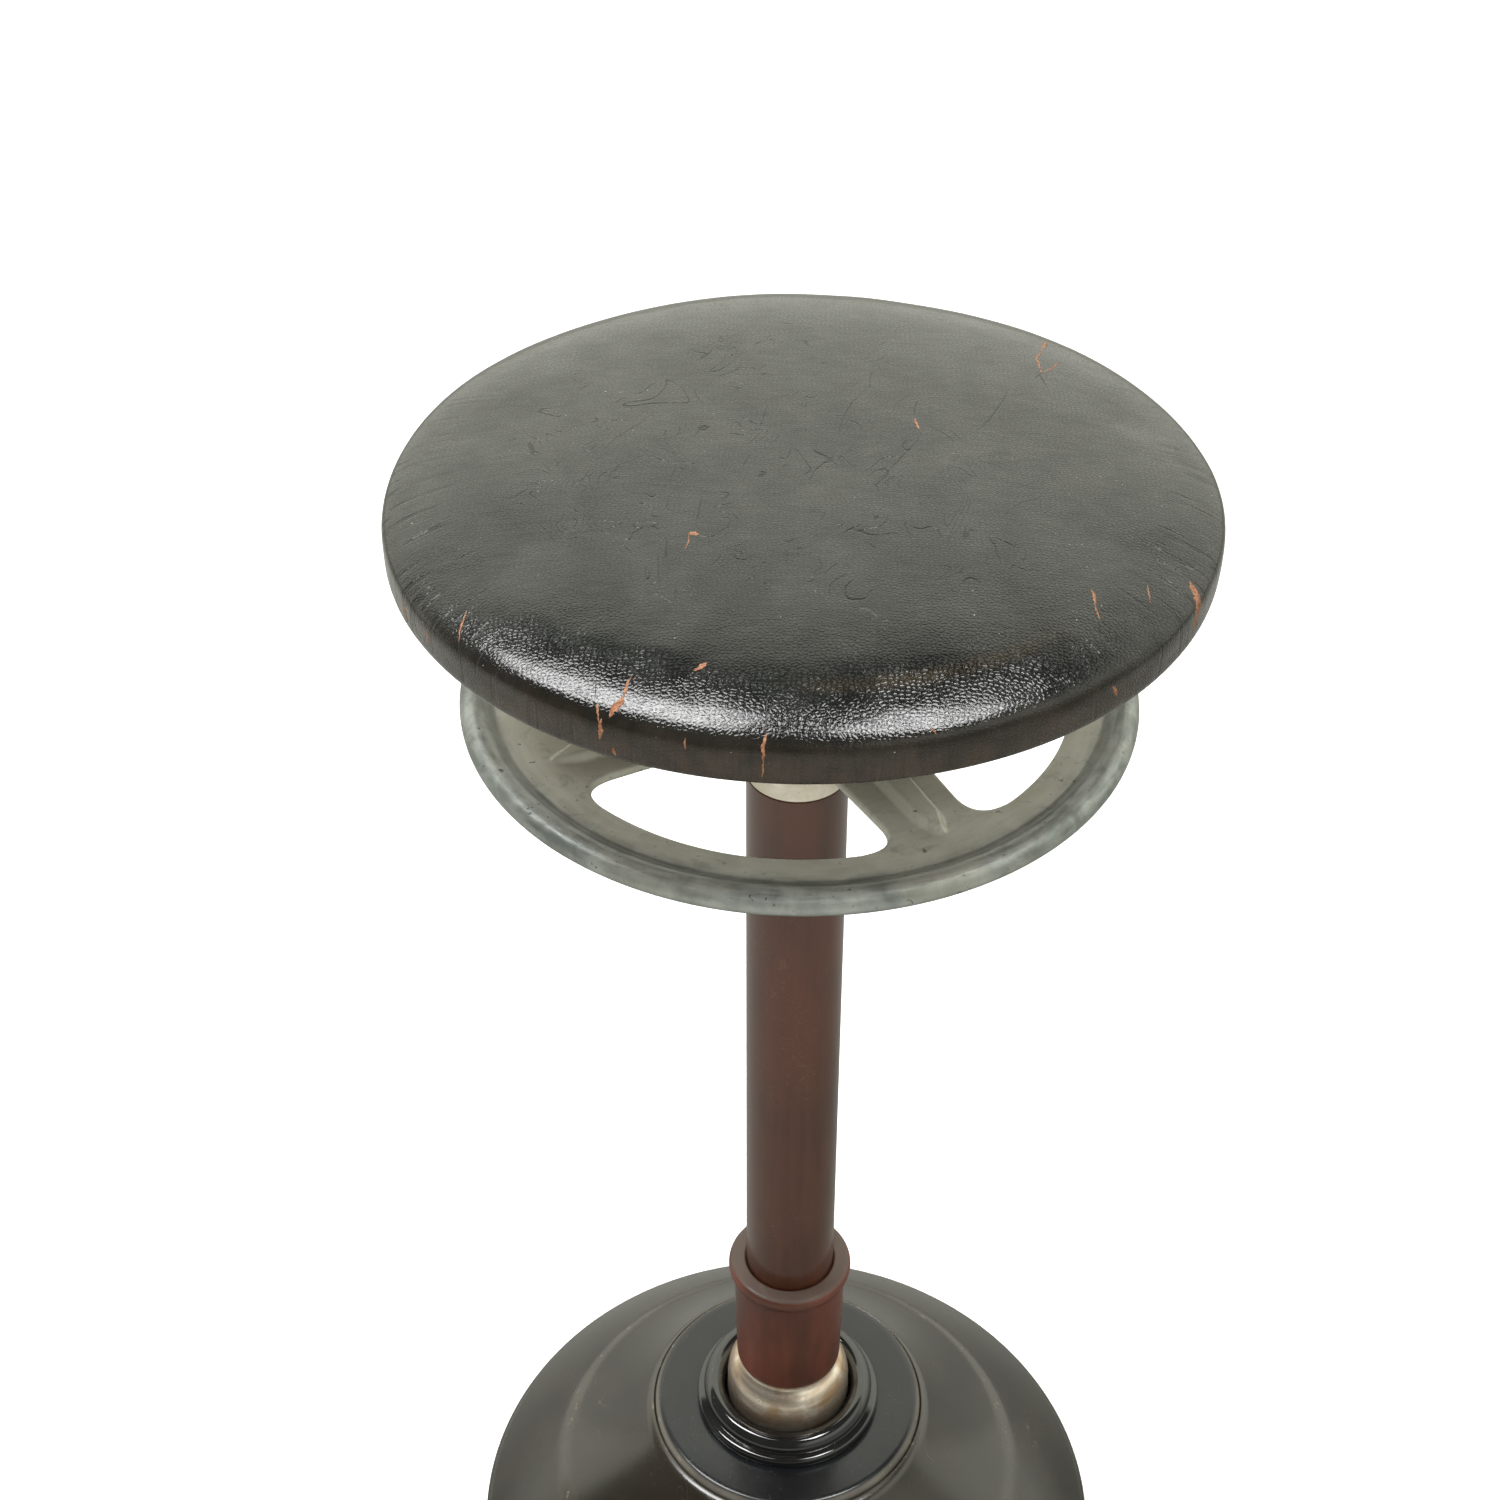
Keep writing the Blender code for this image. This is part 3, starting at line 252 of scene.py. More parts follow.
def enamel(name, dark, pale, rough, gloss, edges, bare_and_sheen, sheen_and_wear=0.0, dusty=0.0):
    """Stoved enamel: two close tones in clouds, wiped dust, hair scratches, chips at its edges, and a
    continuous lighter band along each edge that is partly rubbed enamel and partly painted highlight.

    rough is its roughness, and gloss the weight of the clear coat over it. edges are radii, each with its
    reach, where the enamel has chipped to the colour bare_and_sheen, and where the share sheen_and_wear
    paints a band of that colour as well: rubbed enamel at the dome's rims, and a painted highlight along
    the dome's crease and round the plate's rim. A film of dust lies inside the radius dusty. Radii and
    reaches are in millimetres."""
    finish, shader, place = new_finish(name, Coat_Weight=gloss, Coat_Roughness=0.7 * rough)
    mottle = clouds(place, 0.045, detail=4.0, warp=0.6)
    smear = clouds(stretched(place, 1.0, 1.0, 0.25), 0.012, detail=3.0)
    dust = rise(clouds(place, 0.0016, detail=1.0), 0.70, 0.76) * rise(mottle, 0.35, 0.7)
    scratch = hairs(clouds(stretched(place, 1.0, 0.35, 0.5), 0.03, detail=2.0, warp=1.5), 0.0025)
    scratch = scratch * rise(clouds(place, 0.03), 0.56, 0.66)
    radius = from_axis(place)
    near = radius * 0.0
    for edge, reach in edges:
        near = near.most(1.0 - rise(abs(radius - edge * MM), 0.0003, reach * MM))
    flaw = clouds(place, 0.007, detail=5.0, rough=0.65)
    # The band along each edge, in the bare colour, is rubbed enamel at the dome's rims and a painted
    # highlight at the dome's crease and the plate's rim.
    chip_and_sheen = rise(near * 0.22 + flaw, 0.82, 0.85).most(near * sheen_and_wear * (0.5 + 0.5 * rise(mottle, 0.3, 0.7)))
    colour = blend(rise(mottle, 0.3, 0.75), dark, pale)
    film = 1.0 - rise(radius, (dusty - 6.0) * MM, (dusty + 2.0) * MM)
    colour = blend(dust * 0.10 + scratch * 0.16 + film * 0.015, colour, (0.42, 0.39, 0.32))
    colour = blend(chip_and_sheen, colour, bare_and_sheen)
    height = clouds(place, 0.004, detail=1.0) * 0.00003 - chip_and_sheen * 0.00018 - scratch * 0.00002
    roughness = rough * (0.6 + 0.5 * mottle + 0.3 * smear) + 0.35 * chip_and_sheen
    dress(shader, colour, height, Roughness=roughness)
    return finish


# Corners are (radius, height, rounding) in millimetres, here and in the other turned pieces
dome_corners = [(49.9, 104.2, 0.0), (77.9, 104.2, 0.0), (77.9, 109.4, 0.7)]
dome_corners += unrounded(bowed((79.2, 110.0), (131.0, 58.8), -2.0, 12)[:-1])
dome_corners += [(131.0, 58.8, 3.0), (136.5, 56.0, 2.2)]
dome_corners += unrounded(bowed((136.5, 56.0), (183.2, 10.0), 1.0, 12)[1:])
dome_corners += [(182.6, 6.6, 1.2), (180.4, 5.0, 1.0), (177.2, 5.0, 0.4), (177.2, 10.0, 0.0)]
dome_corners += [(167.2, 10.0, 0.0), (167.2, 5.0, 0.4), (161.2, 5.0, 1.5), (161.2, 18.0, 9.0)]
dome_corners += unrounded(bowed((128.5, 52.0), (75.6, 95.2), 2.0)) + [(49.9, 95.2, 0.5)]
# The wide band at the crease, 133.5 mm out, is a painted highlight; the narrow bands at 79 and 182.8 mm are
# rubbed enamel.
black_enamel = enamel("black_enamel_finish", (0.007, 0.0050, 0.0030), (0.018, 0.0130, 0.0078),
                      rough=0.25, gloss=0.60, edges=((79.0, 1.8), (133.5, 7.0), (182.8, 2.2)),
                      bare_and_sheen=(0.13, 0.112, 0.085), sheen_and_wear=0.24, dusty=133.0)
fit(turned("dome", softened(dome_corners), 224), "base", ["dome_base"], black_enamel)

# Rubber floor ring
# A ring of black rubber with a square section, moulded in one and pressed into the groove under the
# rim, so that the iron stands clear of the floor. It is grey with dust.

rubber, shader, place = new_finish("rubber_finish", Roughness=0.8)
grime = clouds(place, 0.01, detail=4.0)
colour = blend(rise(grime, 0.4, 0.7), (0.012, 0.012, 0.012), (0.06, 0.055, 0.05))
dress(shader, colour, clouds(place, 0.0015, detail=3.0) * 0.0001)
floor_ring = softened([(167.5, 9.7, 0.0), (176.9, 9.7, 0.0), (176.9, 0.0, 0.9), (167.5, 0.0, 0.9)])
fit(turned("rubber_ring", floor_ring, 160), "base", ["floor_ring"], rubber)

# Socket: plate, threaded ring, cup and bolts
# The plate closes the top of the dome; the gloss ring screws into it and keeps the ball down. The
# cup and its bolts are hidden under the dome, in plain iron and blackened steel.

plate = softened([(44.9, 114.5, 0.8), (74.6, 114.2, 2.4), (77.6, 111.5, 1.6), (77.6, 104.5, 0.4),
                  (44.9, 104.5, 0.4)], 8)
# The pale line round the plate's rim, 76.8 mm out, is a painted highlight.
plate_enamel = enamel("plate_finish", (0.007, 0.008, 0.009), (0.014, 0.016, 0.017), rough=0.22, gloss=0.0,
                      edges=((76.8, 2.4),), bare_and_sheen=(0.20, 0.18, 0.15), sheen_and_wear=0.7)
fit(turned("plate", plate, 192), "base", ["socket_plate"], plate_enamel)

BEAD_R, BEAD_Z = 42.75, 123.6
BEAD_WIDE, BEAD_TALL = 6.15, 6.4
over_bead = np.linspace(math.pi, 0.0, 28)
bead_radius = BEAD_R + BEAD_WIDE * np.cos(over_bead)
bead_height = BEAD_Z + BEAD_TALL * np.sin(over_bead)
gland_bead = np.stack((bead_radius, bead_height), axis=-1)
gland_corners = unrounded(gland_bead)
gland_corners += [(47.7, 121.4, 0.8), (51.7, 120.4, 1.2), (52.7, 119.2, 0.9), (52.7, 115.8, 0.7)]
gland_corners += [(51.9, 114.8, 0.4), (44.6, 114.8, 0.2), (44.6, 104.9, 0.2), (36.6, 104.9, 0.2)]
gloss_black = enamel("gloss_black_finish", (0.007, 0.007, 0.007), (0.014, 0.014, 0.014),
                     rough=0.08, gloss=0.5, edges=(), bare_and_sheen=(0.16, 0.14, 0.11))
gland = turned("gland_ring", softened(gland_corners, 6), 160)
fit(gland, "base", ["socket_ring"], gloss_black)


def bare_metal(name, bright, dull, shine, brushed, pits, clean=1.0):
    """Bare metal: bright and dull tones in stains, tool marks round the piece, pits and scuffs.

    shine is its roughness where it is bright, brushed the depth of the tool marks in metres, pits the
    share of the pits' dark colour, and clean how far it is metal and not tarnish and old grease."""
    finish, shader, place = new_finish(name, Metallic=clean)
    stain = clouds(place, 0.02, detail=5.0, warp=0.8, rough=0.6)
    lines = clouds(stretched(place, 0.12, 0.12, 3.0), 0.004, detail=3.0)
    speck = rise(clouds(place, 0.0022, detail=2.0), 0.70, 0.76)
    scuff = hairs(clouds(place, 0.012, detail=2.0, warp=1.0), 0.006)
    scuff = scuff * rise(clouds(place, 0.02), 0.52, 0.62)
    tone = rise(stain + 0.25 * (lines - 0.5), 0.30, 0.72)
    colour = blend(tone, dull, bright)
    colour = blend(speck * pits, colour, (0.05, 0.045, 0.04))
    colour = blend(scuff * 0.35, colour, bright)
    roughness = shine + 0.22 * (1.0 - tone) + 0.12 * (lines - 0.5) + 0.2 * speck
    dress(shader, colour, lines * brushed - speck * 0.0001 - scuff * 0.00002, Roughness=roughness)
    return finish


def repaint(nodes, finish):
    """Give CAD nodes whose shape is right a better finish."""
    for node in nodes:
        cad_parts[node].material_slots[0].material = finish


dark_steel = bare_metal("dark_steel_finish", (0.24, 0.23, 0.22), (0.09, 0.085, 0.08),
                        shine=0.35, brushed=0.00002, pits=0.6)
grey_iron = bare_metal("grey_iron_finish", (0.22, 0.215, 0.205), (0.12, 0.11, 0.10),
                       shine=0.5, brushed=0.00003, pits=0.8)
repaint(["socket_cup"], grey_iron)
repaint([f"socket_bolt_{i}" for i in range(1, 5)], dark_steel)

# Ball joint at the foot of the column
# The ball is turned steel, worn to a warm grey by the socket. A stud, washer, nut and coil spring
# under the cup pull it down, and a brown fibre liner lies between ball and cup.

worn_steel = bare_metal("worn_steel_finish", (0.76, 0.69, 0.60), (0.46, 0.31, 0.19),
                        shine=0.24, brushed=0.00003, pits=0.5, clean=0.9)
BALL_R, BALL_Z = 35.1, 125.0
around_ball = np.radians(np.linspace(95.0, 30.0, 30))
ball = np.stack((BALL_R * np.sin(around_ball), BALL_Z - BALL_R * np.cos(around_ball)), axis=-1)
ball_corners = [(1.0, 187.2, 0.0), (21.9, 187.2, 1.0), (21.9, 154.2, 0.0), (27.4, 154.2, 0.6)]
ball_corners += [(27.1, 151.8, 1.2), (28.4, 149.8, 1.2), (31.2, 147.6, 1.6)]
ball_corners += [(33.6, 143.4, 2.4), (34.9, 137.0, 3.0)]
ball_corners += unrounded(ball) + [(6.3, ball[-1, 1], 0.5), (6.3, 120.0, 0.0), (1.0, 120.0, 0.0)]
fit(turned("ball", softened(ball_corners, 8), 160), "column", ["ball_foot"], worn_steel)

spring_steel = bare_metal("spring_steel_finish", (0.30, 0.30, 0.31), (0.12, 0.12, 0.12),
                          shine=0.3, brushed=0.00001, pits=0.5)
repaint(["tail_stud", "tail_washer", "tail_nut", "sleeve_set_screw"], dark_steel)
repaint(["tail_spring", "lift_spring", "rod_spring"], spring_steel)

fibre, shader, place = new_finish("fibre_finish", Roughness=0.75)
threads = clouds(stretched(place, 4.0, 1.0, 1.0), 0.003, detail=4.0)
dress(shader, blend(threads, (0.13, 0.065, 0.04), (0.27, 0.15, 0.09)), threads * 0.0001)
repaint(["ball_liner"], fibre)

# Column: tube and sleeve
# A drawn steel tube in mahogany-brown enamel with faint streaks along it. It stands in a redder sleeve,
# turned and enamelled too, whose collar stands clear of the tube.


def brown_enamel(name, dark, mid, red, shine, gloss, grain, dust_from=1.0):
    """Brown enamel grained like mahogany: long streaks of three tones, runs and rubbed scratches.

    shine is its least roughness, gloss the weight of its clear coat, and grain the share of the streaks
    in its tone. Dust lies on what is higher than dust_from, in metres."""
    finish, shader, place = new_finish(name, Coat_Weight=gloss, Coat_Roughness=0.12)
    streak = clouds(stretched(place, 1.0, 1.0, 0.045), 0.0045, detail=4.0, warp=0.3)
    fine = clouds(stretched(place, 1.0, 1.0, 0.02), 0.0011, detail=3.0)
    patch = clouds(stretched(place, 1.0, 1.0, 0.4), 0.035, detail=3.0)
    curl = abs(clouds(place, 0.02, detail=1.0, warp=2.5) - 0.5)
    curl = (1.0 - rise(curl, 0.004, 0.014)) * rise(clouds(stretched(place, 1.0, 1.0, 0.6), 0.05), 0.50, 0.66)
    rub = rise(clouds(stretched(place, 1.0, 1.0, 0.3), 0.0032, detail=4.0), 0.70, 0.75)
    rub = rub * rise(patch, 0.45, 0.65)
    tone = (0.75 * streak + 0.25 * fine) * grain + patch * (1.0 - grain)
    colour = blend(rise(tone, 0.30, 0.70), dark, mid)
    colour = blend(rise(patch, 0.40, 0.72) * 0.6, colour, red)
    colour = blend(curl * 0.08 + rub * 0.20, colour, (0.30, 0.21, 0.16))
    dust = rise(place.node("ShaderNodeSeparateXYZ", {0: place}, output=2), dust_from - 0.0008, dust_from)
    colour = blend(dust * (0.5 + 0.5 * patch), colour, (0.080, 0.060, 0.047))
    height = fine * 0.00001 + curl * 0.00002 + clouds(place, 0.006) * 0.00004
    roughness = shine + 0.14 * streak + 0.10 * patch + 0.2 * rub + 0.15 * dust
    dress(shader, colour, height, Roughness=roughness)
    return finish


tube_brown = brown_enamel("tube_finish", (0.041, 0.0115, 0.0045), (0.078, 0.0245, 0.0105),
                          (0.090, 0.0230, 0.0100), shine=0.22, gloss=0.5, grain=0.5)
tube = softened([(22.2, 581.0, 0.4), (24.0, 581.0, 0.5), (24.0, 154.5, 0.3), (22.2, 154.5, 0.3)])
fit(turned("tube", tube, 160), "column", ["outer_tube"], tube_brown)

sleeve_brown = brown_enamel("sleeve_finish", (0.058, 0.019, 0.011), (0.105, 0.034, 0.020),
                            (0.190, 0.045, 0.026), shine=0.26, gloss=0.1, grain=0.3, dust_from=0.2354)
sleeve = softened([(24.4, 236.1, 0.2), (25.2, 236.7, 0.4), (31.4, 235.8, 1.4), (33.2, 234.5, 1.0),
                   (33.8, 232.5, 1.0), (33.8, 230.3, 1.0), (32.6, 227.9, 1.2), (30.9, 226.5, 1.4),
                   (30.6, 223.2, 1.6), (29.4, 157.5, 2.0), (28.7, 155.1, 0.6), (27.6, 154.5, 0.4),
                   (24.3, 154.5, 0.2), (24.3, 235.7, 0.2)], 8)
fit(turned("sleeve_skin", sleeve, 160), "column", ["sleeve"], sleeve_brown)

# Top bush, ram and the lock inside
# The bush closes the tube in nickel plate gone cream with age. The ram slides in it; its collet,
# rod and springs are inside the tube.

nickel = bare_metal("nickel_finish", (0.92, 0.87, 0.75), (0.76, 0.70, 0.57),
                    shine=0.30, brushed=0.00001, pits=0.4, clean=0.4)
bush = softened([(19.3, 599.5, 0.3), (19.9, 600.1, 0.4), (22.8, 600.1, 0.8), (23.7, 599.2, 0.6),
                 (23.7, 581.3, 0.3), (21.9, 581.3, 0.1), (21.9, 539.0, 0.3), (19.3, 539.0, 0.3)])
fit(turned("bush", bush, 128), "column", ["tube_top_bush"], nickel)
ram_nickel = bare_metal("ram_finish", (0.80, 0.78, 0.72), (0.62, 0.58, 0.50),
                        shine=0.20, brushed=0.00001, pits=0.4, clean=0.9)
repaint(["ram"], ram_nickel)

bronze = bare_metal("bronze_finish", (0.58, 0.37, 0.17), (0.30, 0.18, 0.08),
                    shine=0.35, brushed=0.00001, pits=0.5)
bright_steel = bare_metal("bright_steel_finish", (0.55, 0.55, 0.54), (0.33, 0.32, 0.31),
                          shine=0.25, brushed=0.00002, pits=0.5)
repaint(["lock_collet", "thrust_washer"], bronze)
repaint(["release_rod", "seat_spindle"], bright_steel)
repaint(["collar_set_screw", "cross_pin", "spindle_washer", "spindle_nut"], dark_steel)
stop_collar = softened([(19.3, 607.4, 0.3), (27.0, 607.4, 0.8), (27.0, 600.4, 0.8), (19.3, 600.4, 0.3)])
fit(turned("collar", stop_collar, 96), "ram", ["stop_collar"], dark_steel)

# Lift ring
# One casting of zinc alloy: a rounded hand grip with a groove inside it, a flat web, four spokes
# with a raised rib each, and a hub round the ram. It is dull grey-green, stained and rubbed. The web,
# spokes and hub under the seat are painted paler, a painted light where the seat's shade falls, and a
# dark line along the groove is painted shade.

RING_Z = 630.0
SPOKES = 4
SPOKE_AZIMUTH = math.radians(30.0)
HALF_GAP = math.pi / SPOKES


def on_plan(radius, angle):
    """Points at that radius and angle from the X axis."""
    return np.stack((radius * np.cos(angle), radius * np.sin(angle)), axis=-1)


def way_along(line):
    """The way along a line of points from its first point to each."""
    return np.concatenate(([0.0], np.cumsum(np.hypot(*np.diff(line, axis=0).T))))


def at_ways(wanted, way, line):
    """The points of a line at the wanted ways along it, worked out between its own points."""
    return np.stack([np.interp(wanted, way, line[:, k]) for k in range(2)], axis=-1)


def window_edge(count):
    """Outline of one opening in plan about azimuth 0, evenly spaced, with rounded corners.

    Half of it is an arc by the grip, a corner, a straight side of a spoke, a corner and an arc by
    the hub; the other half is its mirror image."""
    outer, inner = 122.0, 43.0
    outer_spoke, inner_spoke = 18.0, 22.0
    outer_round, inner_round = 20.0, 7.0
    steps = 16
    outer_half = HALF_GAP - math.asin(outer_spoke / outer)
    inner_half = HALF_GAP - math.asin(inner_spoke / inner)
    outer_corner, inner_corner = on_plan(outer, outer_half), on_plan(inner, inner_half)
    side = (inner_corner - outer_corner) / np.hypot(*(inner_corner - outer_corner))
    outer_arc = on_plan(outer, np.linspace(0.0, outer_half - outer_round / outer, 20))
    inner_arc = on_plan(inner, np.linspace(inner_half - inner_round / inner, 0.0, 6))
    outer_turn = round_corner(outer_arc[-1], outer_corner, outer_corner + side * outer_round, steps)
    inner_turn = round_corner(inner_corner - side * inner_round, inner_corner, inner_arc[0], steps)
    half = np.concatenate((outer_arc, outer_turn, inner_turn, inner_arc))
    outline = np.concatenate((half, half[-2::-1] * (1.0, -1.0)))
    way = way_along(outline)
    even = np.linspace(0.0, way[-1], count, endpoint=False)
    return at_ways(even, way, outline)


def sector_edge(start, outer, inner):
    """Where lines from the opening's middle through its outline leave the quarter of the ring.

    Each line ends where it first meets a spoke's middle line, the outer circle or the inner circle."""
    middle = np.array((84.0, 0.0))
    far, tiny = 1e9, 1e-9
    ray = start - middle
    ray = ray / np.hypot(*ray.T)[:, None]
    reach = np.full(len(ray), far)
    for side in (1.0, -1.0):
        across = np.array((-math.sin(HALF_GAP), side * math.cos(HALF_GAP)))
        speed = ray @ across
        hit = -(middle @ across) / np.where(speed > tiny, speed, tiny)
        reach = np.where(speed > tiny, np.minimum(reach, hit), reach)
    along = ray @ middle
    reach = np.minimum(reach, -along + np.sqrt(along ** 2 - middle @ middle + outer ** 2))
    meets = along ** 2 - middle @ middle + inner ** 2
    hub = -along - np.sqrt(np.maximum(meets, 0.0))
    reach = np.where((meets > 0) & (hub > 0), np.minimum(reach, hub), reach)
    return middle + ray * reach[:, None]


def rib_height(plan):
    """Height of the casting's face above its middle, in millimetres.

    It is a flat web that thickens a little towards the grip, with a rib along each spoke: the rib's half
    width and its top are given along the spoke, and its sides slope over a fixed width."""
    web_height, thicker = 2.2, 0.7
    thick_from, thick_over = 108.0, 14.0
    slope = 2.4
    radius = np.hypot(plan[..., 0], plan[..., 1])
    face = web_height + thicker * np.clip((radius - thick_from) / thick_over, 0.0, 1.0)
    off_spoke = np.abs(np.arctan2(plan[..., 1], plan[..., 0])) - HALF_GAP
    along, across = radius * np.cos(off_spoke), np.abs(radius * np.sin(off_spoke))
    half = np.interp(along, (25.0, 111.0, 121.0, 122.5), (9.0, 6.5, 2.6, 0.0))
    top = np.interp(along, (25.0, 111.0, 121.0), (8.8, 6.6, 4.8))
    share = np.clip((half - across) / slope, 0.0, 1.0)
    return face + np.maximum(top - face, 0.0) * share


def cast_ring():
    """The casting's shells, each with whether its grid closes on itself from last row to first.

    Each quarter of web and spokes is a grid from its opening to its edge, with closer rows by the opening,
    where the edge is a quarter round above and below a parting line. Grip and hub are turned."""
    around, across, closer = 240, 35, 1.7
    web_outer, web_inner = 137.0, 33.0
    edge_round, parting, under = 2.4, 0.2, 2.5
    edge = window_edge(around)
    rim = sector_edge(edge, web_outer, web_inner)
    share = np.linspace(0.0, 1.0, across)[:, None, None] ** closer
    plan = edge + (rim - edge) * share
    inset = np.hypot(*np.moveaxis(plan - edge, -1, 0))
    round_over = np.sqrt(1.0 - (1.0 - np.clip(inset / edge_round, 0.0, 1.0)) ** 2)
    top = RING_Z - parting + (rib_height(plan) + parting) * round_over
    bottom = RING_Z - parting - under * round_over
    face = np.concatenate((plan, top[..., None]), axis=-1)
    back = np.concatenate((plan, bottom[..., None]), axis=-1)
    quarter = np.concatenate((face[::-1], back[1:]))
    shells = []
    for i in range(SPOKES):
        turn = SPOKE_AZIMUTH + HALF_GAP + 2 * math.pi * i / SPOKES
        cosine, sine = math.cos(turn), math.sin(turn)
        spin = np.array(((cosine, sine, 0.0), (-sine, cosine, 0.0), (0.0, 0.0, 1.0)))
        shells.append((quarter @ spin * MM, False))
    grip = [(132.0, 2.9, 0.5), (137.2, 2.5, 1.6), (140.0, 3.0, 1.4), (142.2, 5.2, 1.8), (146.4, 6.8, 3.2),
            (150.8, 5.3, 2.6), (152.9, 1.6, 2.2), (152.6, -2.3, 2.2), (149.2, -5.0, 2.2), (144.0, -5.2, 2.4),
            (138.5, -4.2, 2.4), (132.0, -2.7, 1.0)]
    hub = [(19.3, 18.0, 0.5), (29.0, 18.0, 1.2), (31.0, 16.0, 1.2), (33.5, 6.0, 2.5), (36.0, 2.2, 2.0),
           (36.0, -2.6, 1.0), (33.5, -4.5, 2.0), (31.0, -22.3, 0.8), (19.3, -22.3, 0.5)]
    for corners, facets in ((grip, 240), (hub, 160)):
        outline = softened([(radius, RING_Z + z, rounding) for radius, z, rounding in corners], 7)
        shells.append((turned_points(outline, facets), True))
    return shells


def joined(name, shells):
    """Several grids as one mesh, where the quarters' open edges meet along the spokes."""
    vertices, faces, first = [], [], 0
    for points, closes in shells:
        rows, columns = points.shape[:2]
        quads = ring_faces(rows, columns)
        if not closes:
            quads = quads[:(rows - 1) * columns]
        vertices.append(points.reshape(-1, 3))
        faces.append(quads + first)
        first += rows * columns
    return mesh_piece(name, np.concatenate(vertices), np.concatenate(faces))


def weld(piece):
    """Join the points where grids meet, and turn every face outwards."""
    shape = bmesh.new()
    shape.from_mesh(piece.data)
    bmesh.ops.remove_doubles(shape, verts=shape.verts, dist=0.00002)
    bmesh.ops.recalc_face_normals(shape, faces=shape.faces)
    shape.to_mesh(piece.data)
    shape.free()


cast_grey, shader, place = new_finish("cast_grey_finish", Metallic=0.45)
radius = from_axis(place)
stain = clouds(place, 0.018, detail=6.0, warp=0.8, rough=0.62)
broad = clouds(place, 0.055, detail=3.0, warp=0.5)
around = stretched(place, 1.0, 1.0, 0.0)
around = around.node("ShaderNodeVectorMath", {0: around}, operation="NORMALIZE")
around = around.node("ShaderNodeVectorMath", {0: around, "Scale": 0.022}, operation="SCALE")
outward = radius.node("ShaderNodeCombineXYZ", {2: radius})
around = around.node("ShaderNodeVectorMath", {0: around, 1: outward}, operation="ADD")
grained = clouds(around, 0.0030, detail=4.0, warp=0.3)
pit = rise(clouds(place, 0.0032, detail=2.0), 0.665, 0.74) * rise(stain, 0.40, 0.60)
blot = rise(clouds(place, 0.010, detail=5.0, warp=0.5, rough=0.65), 0.56, 0.68)
score = hairs(clouds(stretched(place, 0.4, 1.0, 1.0), 0.02, detail=3.0, warp=1.0), 0.006)
score = score * rise(clouds(place, 0.03), 0.52, 0.62)
web = 1.0 - rise(radius, 0.130, 0.142)
rub = rise(radius, 0.141, 0.147) * rise(clouds(place, 0.020, detail=4.0), 0.38, 0.7)
# The dark line painted along the groove inside the grip is painted shade.
groove_shade = 1.0 - rise(abs(radius - 0.1388), 0.0006, 0.0028)
tone = rise(0.40 * stain + 0.22 * broad + 0.38 * grained, 0.38, 0.60)
colour = blend(tone, (0.135, 0.153, 0.142), (0.335, 0.355, 0.333))
# The web, spokes and hub under the seat are painted paler: painted light where the seat's shade falls.
colour = blend(web * 0.58, colour, (0.60, 0.595, 0.50))
colour = blend(blot * 0.30, colour, (0.120, 0.128, 0.116))
colour = blend(rise(broad, 0.48, 0.66) * 0.35, colour, (0.330, 0.312, 0.250))
colour = blend(rub * 0.22 + score * 0.25, colour, (0.47, 0.49, 0.46))
colour = blend((pit * 0.8).most(groove_shade * 0.45), colour, (0.050, 0.053, 0.047))
height = clouds(place, 0.0018, detail=3.0) * 0.00006 + grained * 0.00005 - pit * 0.0002
roughness = 0.46 - 0.12 * rub + 0.16 * (stain - 0.5) + 0.14 * (grained - 0.5)
dress(shader, colour, height, Roughness=roughness)
lift_ring = joined("cast_ring", cast_ring())
weld(lift_ring)
fit(lift_ring, "lift_ring", ["lift_ring"], cast_grey)

# Seat flange, board and screws
# A flange of cast iron in black enamel, whose hub turns on the spindle. Four screws hold it under a
# board of beech, which is turned round and carries the padding.

flange_iron = enamel("flange_finish", (0.020, 0.020, 0.020), (0.050, 0.047, 0.044), rough=0.5, gloss=0.3,
                     edges=((86.0, 2.2), (29.0, 2.2)), bare_and_sheen=(0.16, 0.13, 0.10))
flange = softened([(11.3, 718.2, 0.2), (87.5, 718.2, 0.6), (87.5, 714.7, 1.4), (85.5, 713.7, 1.6),
                   (34.0, 712.2, 3.0), (28.0, 710.2, 2.0), (28.0, 699.1, 1.0), (11.3, 699.1, 0.4)], 6)
fit(turned("flange", flange, 160), "seat", ["seat_flange"], flange_iron)
repaint([f"seat_screw_{i}" for i in range(1, 5)], dark_steel)

beech, shader, place = new_finish("beech_finish", Roughness=0.65)
rings = clouds(stretched(place, 1.0, 0.06, 1.0), 0.006, detail=4.0, warp=0.5)
pores = rise(clouds(stretched(place, 1.0, 0.08, 1.0), 0.0009, detail=2.0), 0.60, 0.70)
colour = blend(rings, (0.24, 0.13, 0.06), (0.42, 0.26, 0.13))
dress(shader, blend(pores * 0.6, colour, (0.09, 0.05, 0.025)), rings * 0.0001 - pores * 0.0001)
repaint(["seat_board"], beech)

# Leather cushion
# Black hide stretched over felt on the board, drawn under its edge and tacked. The crown is worn
# dull and cracked, the rolled edge is polished, and small tears show the tan flesh of the hide.

ROWS, AROUND = 74, 192
SEAT_TOP, GIRTH_Z, GIRTH_R, BOARD_TOP = 755.0, 732.4, 178.4, 730.8
TACKED_BELOW, MOST_SWELL = 723.5, 0.3

# Dents and swellings: degrees round, millimetres from the middle, width and height in millimetres
DENTS = ((-150, 135, 26, -1.3), (170, 140, 30, -0.9), (-25, 140, 24, -1.1), (15, 150, 22, -0.8),
         (60, 110, 40, -0.9), (100, 120, 36, 0.7), (-100, 60, 60, -0.8))


